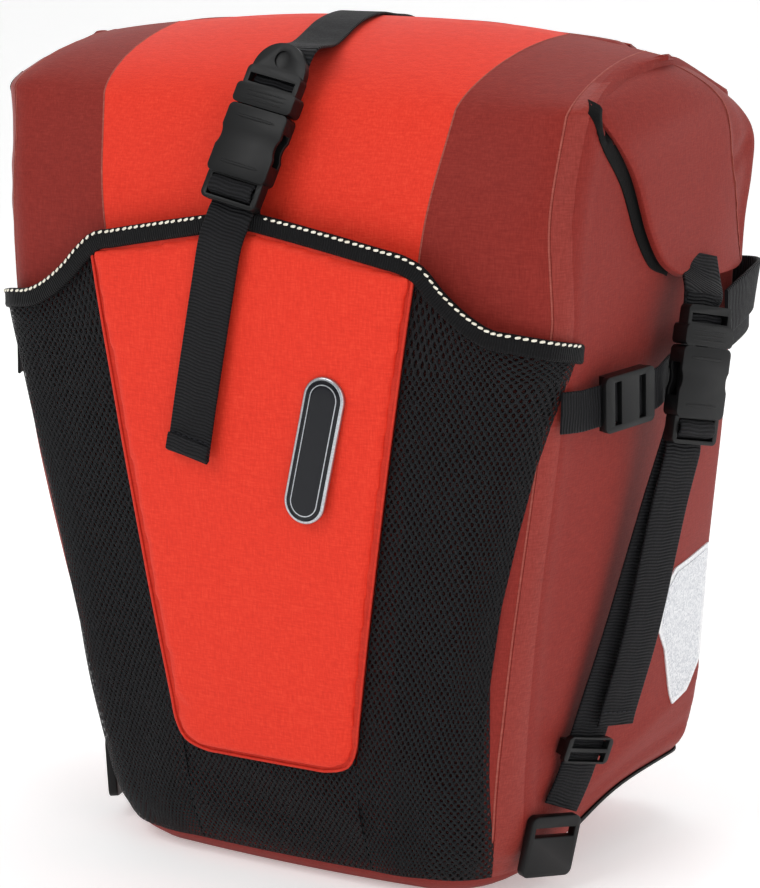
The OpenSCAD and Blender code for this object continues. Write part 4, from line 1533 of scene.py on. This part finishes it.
@dataclass
class Straps:
    """All webbing: the closing strap, the side straps and the compression straps."""

    looks: Palette
    width: float = 25.0
    narrow: float = 20.0
    thick: float = 1.6

    def build(self) -> None:
        """Build every strap with its sewn ends."""
        self.closing()
        for side, word in SIDES:
            self.side(side, word)
            self.compression(side, word)
        LOG.info("straps built")

    def stitches(self, name: str, path: Array, across: Array, count: int, offset: float,
                 body: str = "root") -> None:
        """A row of stitches across a strap at the start of a path.

        Args:
            name: the stitches' name.
            path: points of the strap's middle.
            across: the direction of its width.
            count: stitches on each face.
            offset: distance from the path's start in millimetres.
            body: the body that the stitches move with.
        """
        line = smooth_path(path, 1.0)
        side, out = strap_frame(line, across)
        k = min(len(line) - 2, int(offset))
        spread = np.linspace(-self.width / 2 + 2.5, self.width / 2 - 2.5, count)
        both = [line[k] + side[k] * s + out[k] * sign * (self.thick / 2 + 0.05) for sign in (-1, 1)
                for s in spread]
        add_beads(name, np.array(both), side[k], out[k], (2.2, 0.7, 0.6), self.looks.thread,
                  body)

    def closing(self) -> None:
        """The strap over the top, its short run behind the buckle and its hanging tail."""
        f = FRONT_SEAT.at
        across = FRONT_SEAT.axes()[0]
        over = [f(0, -0.5, 11), f(0, -0.5, 18), f(0, 0.5, 32), (6, -55, 420), (0, -20, 428.6), (-3, 5, 431.2),
                (-5, 24, 429.5), (-8, 56, 424.5), (-11, 88, 402), (-11.6, 106, 388),
                (-12, 117.6, 349), (-12, 117.6, 342.5)]
        top = add_strap("closing_strap", over, np.array([1, 0, 0]), self.width, self.thick,
                        self.looks.webbing)
        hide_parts("top_strap")
        self.stitches("closing_strap_stitches", over[::-1], np.array([1, 0, 0]), 6, 6)
        # The loop that holds the male half doubles back under the strap.
        loop = [f(0, -3.4, 11.5), f(0, -4.0, 14), f(0, -1.2, 17.5), f(0, 1.2, 17)]
        add_strap("closing_strap_loop", loop, across, self.width - 0.6, 1.4, self.looks.webbing, step=1.0)
        run = [f(0, 0.5, LOCK_Z - 1), f(0, 2.4, LOCK_Z - 9), (-6.4, -106.0, 342), (-7.4, -106, 332),
               (-8.2, -105, 321)]
        held = add_strap("closing_strap_run", run, across, self.width, self.thick, self.looks.webbing)
        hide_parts("front_strap")
        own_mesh(held)
        tail = [f(0, y, LOCK_Z + z) for y, z in LADDER]
        tail += [(-7.4, -115.6, 339), (-9.8, -117.8, 330), (-15, -117.4, 306), (-20, -117.2, 280),
                 (-26, -116.4, 250), (-31, -115.8, 223)]
        hang = add_strap("closing_strap_tail", tail, across, self.width, self.thick, self.looks.webbing,
                         body="front_buckle_socket", step=1.5)
        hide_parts("front_strap_tail")
        fold = [(-29.6, -117.6, 231), (-31.2, -117.2, 223.5), (-31.4, -116.0, 222.6), (-31.0, -114.6, 224)]
        add_strap("closing_strap_tail_fold", fold, across, self.width, 1.3, self.looks.webbing,
                  body="front_buckle_socket", step=1.0)
        self.stitches("tail_stitches", tail[::-1], across, 7, 9, "front_buckle_socket")

    def side(self, side: int, word: str) -> None:
        """One side strap: from the ear, through the buckle and down to its anchor, with its tail.

        Args:
            side: 1 for the right half and -1 for the left.
            word: right or left, for the names.
        """
        sign = np.array([side, 1, 1])
        s = SIDE_SEAT.at
        across = SIDE_SEAT.axes()[0] * sign
        socket = f"side_buckle_{word}_socket"

        def flip(path: list) -> list:
            """Mirror a path of the right side onto this side."""
            return [np.array(p, float) * sign for p in path]

        ear = flip([(174, 31, 318), (177.2, 27, 309), s(0, -0.5, 24), s(0, -0.5, 11)])
        piece = add_strap(f"ear_webbing_{word}", ear, across, self.width, self.thick, self.looks.webbing)
        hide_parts(f"ear_web_{word}")
        loop = flip([s(0, -3.4, 11.5), s(0, -4.0, 14), s(0, -1.4, 18), s(0, -1.9, 26)])
        add_strap(f"ear_webbing_loop_{word}", loop, across, self.width - 0.6, 1.4, self.looks.webbing,
                  step=1.0)
        run = flip([s(0, 0.4, LOCK_Z - 1), s(0, 2.2, LOCK_Z - 11), (171.5, -4.5, 202), RUN_TOP,
                    (RUN_TOP + RUN_FOOT) / 2, RUN_FOOT, (131.5, -29, 43.5)])
        held = add_strap(f"side_strap_run_{word}", run, across, self.width, self.thick, self.looks.webbing)
        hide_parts(f"side_strap_{word}")
        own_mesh(held)
        tail = flip([s(0, y, LOCK_Z + z) for y, z in LADDER] + [
                     (176, -3.6, 201), (162.3, -5.5, 130), (152.6, -8.6, 90), (151.4, -9, 84)])
        hang = add_strap(f"side_strap_tail_cloth_{word}", tail, across, self.width, self.thick,
                         self.looks.webbing,
                         body=socket, step=1.5)
        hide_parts(f"side_strap_tail_{word}")
        self.stitches(f"side_tail_stitches_{word}", tail[::-1], across, 7, 8, socket)

    def compression(self, side: int, word: str) -> None:
        """One compression strap, from the pocket's edge to the back corner.

        Args:
            side: 1 for the right half and -1 for the left.
            word: right or left, for the names.
        """
        sign = np.array([side, 1, 1])
        at, way = np.array([168, -43.7, 258]), unit(np.array([0.26, 0.96, 0.06]))
        path = [np.array(p, float) * sign for p in
                [(154.5, -84, 256.5), (157, -79, 256.3), (159.5, -72, 256), at - 21 * way, at + 24 * way,
                 (173.4, -6, 262),
                 (173.4, 30, 269), (174.4, 80, 276), (171.5, 104, 280), (163, 117.4, 281), (148, 117.6, 281)]]
        strap = add_strap(f"compression_webbing_{word}", path, np.array([0, 0, 1]), self.narrow, self.thick,
                          self.looks.webbing)
        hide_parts(f"compression_strap_{word}")
        rear = [np.array(p, float) * sign for p in
                [(176.5, 62, 284), (177.6, 84, 290), (175.5, 103, 293), (166, 118.2, 292), (150, 119.0, 291)]]
        add_strap(f"rear_fold_{word}", rear, np.array([0.1, 0.1, 1]) * sign, 26, 2.2, self.looks.webbing)


@dataclass
class HardParts:
    """Moulded and metal parts, each with its edges rounded."""

    looks: Palette
    small: tuple = (
        "front_buckle_male", "front_prong_left", "front_prong_right", "front_buckle_female",
        "side_buckle_male_left", "side_buckle_male_right", "side_prong_back_left",
        "side_prong_back_right", "side_prong_front_left", "side_prong_front_right",
        "side_buckle_female_left", "side_buckle_female_right", "strap_keeper_left",
        "strap_keeper_right", "strap_anchors", "compression_slider_left", "compression_slider_right")
    large: tuple = ("top_rail", "hook_left", "hook_right", "latch_left", "latch_right", "carry_handle",
                    "lower_rail",
                    "lower_slider", "lower_hook")
    metal: tuple = ("latch_pins", "lower_hook_bolt", "rail_screws")
    hidden: tuple = ("roll_stiffener", "back_stiffener")

    def build(self) -> None:
        """Round and dress every hard part, and add the ribs of the buckles."""
        for node in self.small:
            rounded_copy(node, self.looks.plastic, 0.7)
        for node in self.large:
            rounded_copy(node, self.looks.rail, 1.0)
        for node in self.metal:
            rounded_copy(node, self.looks.steel, 0.3)
        for node in self.hidden:
            for place in frame["nodes"][node].material_slots:
                place.material = self.looks.board
        self.ribs()
        LOG.info("hard parts built")

    def ribs(self) -> None:
        """Grip ribs across the foot of each female half and on the male's bridge."""
        seats = (("front", FRONT_SEAT, 1, "front_buckle_socket"),
                 ("right", SIDE_SEAT, 1, "side_buckle_right_socket"),
                 ("left", SIDE_SEAT, -1, "side_buckle_left_socket"))
        for word, seat, side, socket in seats:
            sign = np.array([side, 1, 1])
            across, back, _ = (v * sign for v in seat.axes())
            for name, face, heights, size, body in (
                    ("socket", -9.05, (-5.5, -28.5), (22, 1.6, 0.9), socket),
                    ("bridge", -8.9, (3.2, 5.4, 7.6), (25, 1.1, 0.9), "root")):
                centres = np.array([seat.at(0, face, z) * sign for z in heights])
                add_beads(f"buckle_{name}_ribs_{word}", centres, across, -back, size, self.looks.plastic,
                          body)


@dataclass
class Patches:
    """Reflective patches on the gussets and plastic shells round the lower back corners."""

    form: BagForm
    looks: Palette
    front_line: tuple = ((71, 71.5), (106, 55), (120, 44), (143, 46), (150.6, 55.5), (154.5, 97))
    back_line: tuple = ((71, 72.5), (75.5, 86), (92, 103), (110, 104), (154.5, 99))

    def build(self) -> None:
        """Build the patches with their borders, and the shells."""
        front, back = np.array(self.front_line, float), np.array(self.back_line, float)
        heights = np.unique(np.concatenate([np.linspace(front[0, 0], front[-1, 0], 40), front[:, 0],
                                            back[:, 0]]))
        ahead = np.interp(heights, front[:, 0], front[:, 1])[:, None]
        behind = np.interp(heights, back[:, 0], back[:, 1])[:, None]
        shares = np.linspace(0, 1, 12)[None]
        for side, word in SIDES:
            towards = np.array([side * 2000, 60, 200])
            edge = self.form.on_wall(ahead + (behind - ahead) * shares, heights[:, None] + 0 * shares, 0.75,
                                     side)
            border = add_sheet(f"reflector_border_{word}", edge, 0.8, towards, self.looks.film_edge)
            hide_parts("side_reflectors")
            mid = edge.mean(axis=(0, 1))
            inner = mid + (edge - mid) * np.array([1, 0.9, 0.93])
            inner[..., 0] += side * 0.35
            add_sheet(f"reflector_{word}", inner, 0.6, towards, self.looks.film)
            cols, levels = np.linspace(8.8, 13, 34), np.array([0.4, 1.5, 4, 7, 10, 13, 15])
            lip = np.interp(levels, [0.4, 2, 13, 15], [1.4, 2.6, 2.6, 1.4])
            shell = self.form.point(cols[None], levels[:, None], away=lip[:, None], side=side)
            plate = add_sheet(f"corner_shell_{word}", shell, 2.0, np.array([side * 900, 600, 100]),
                              self.looks.rail)
            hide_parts("edge_protectors")
        LOG.info("patches built")


# ---------------------------------------------------------------- studio


@dataclass
class Studio:
    """Camera, soft lights and a pale sweep."""

    target: tuple = (0.0, 0.0, 0.220)
    azimuth: float = 29.3
    elevation: float = 11.9
    distance: float = 1.4465
    lens: float = 113.15
    shift: tuple = (0.023, -0.022)

    def camera(self) -> None:
        """Aim the camera at the bag."""
        data = bpy.data.cameras.new("camera")
        data.lens, data.sensor_width = self.lens, 36.0
        data.shift_x, data.shift_y = self.shift
        data.clip_end = 50
        obj = link_object("camera", data)
        a, e = math.radians(self.azimuth), math.radians(self.elevation)
        way = Vector((math.sin(a) * math.cos(e), -math.cos(a) * math.cos(e), math.sin(e)))
        obj.location = Vector(self.target) + way * self.distance
        obj.rotation_euler = (-way).to_track_quat("-Z", "Y").to_euler()
        bpy.context.scene.camera = obj

    def lights(self) -> None:
        """Large soft lights, an even white surround and a plain pale sweep."""
        for name, place, size, power in (("key", (-0.7, -1.7, 1.9), 1.3, 21),
                                         ("fill", (1.9, -1.0, 1.0), 1.5, 11),
                                         ("top", (0.1, 0.4, 2.1), 1.2, 9)):
            data = bpy.data.lights.new(name, "AREA")
            data.size, data.energy = size, power
            obj = link_object(name, data)
            obj.location = place
            obj.rotation_euler = (Vector((0, 0, 0.2)) - Vector(place)).to_track_quat("-Z", "Y").to_euler()
        world = bpy.data.worlds.new("surround")
        world.use_nodes = True
        world.node_tree.nodes["Background"].inputs[0].default_value = linear("#FFFFFF")
        world.node_tree.nodes["Background"].inputs[1].default_value = 0.42
        bpy.context.scene.world = world
        bpy.context.scene.view_settings.view_transform = "Standard"
        material, tree, shader = start_material("matt_white_paper")
        noise = add_node(tree, "TexNoise", {"Scale": 4.0})
        mix = add_node(tree, "MixRGB", {0: noise.outputs[0], 1: linear("#FBFBFB"), 2: linear("#FDFDFD")})
        wire(tree, shader, {"Base Color": mix.outputs[0], "Roughness": 0.9,
                            "Emission Color": linear("#FFFFFF"), "Emission Strength": 0.3})
        sweep = [(y, -0.0005) for y in (-60.0, -12.0, 0.0, 1.4)]
        sweep += [(1.4 + 1.6 * math.sin(a), 1.6 - 1.6 * math.cos(a))
                  for a in np.linspace(0.1, math.pi / 2, 14)]
        sweep.append((3.0, 6.0))
        floor = bpy.data.meshes.new("floor")
        floor.from_pydata([(x, y, z) for y, z in sweep for x in (-30.0, 30.0)], [],
                          [(2 * k, 2 * k + 1, 2 * k + 3, 2 * k + 2) for k in range(len(sweep) - 1)])
        floor.polygons.foreach_set("use_smooth", [True] * len(floor.polygons))
        floor.materials.append(material)
        link_object("floor", floor)


def main() -> None:
    """Build the studio and then the bag, from the shell outward."""
    logging.basicConfig(level=logging.INFO, format="%(name)s: %(message)s")
    studio = Studio()
    studio.camera()
    studio.lights()
    looks = Palette()
    form = BagForm()
    BagShell(form, looks).build()
    RolledTop(form, looks).build()
    FrontPocket(form, looks).build()
    Patches(form, looks).build()
    Straps(looks).build()
    HardParts(looks).build()


if __name__ == "__main__":
    main()
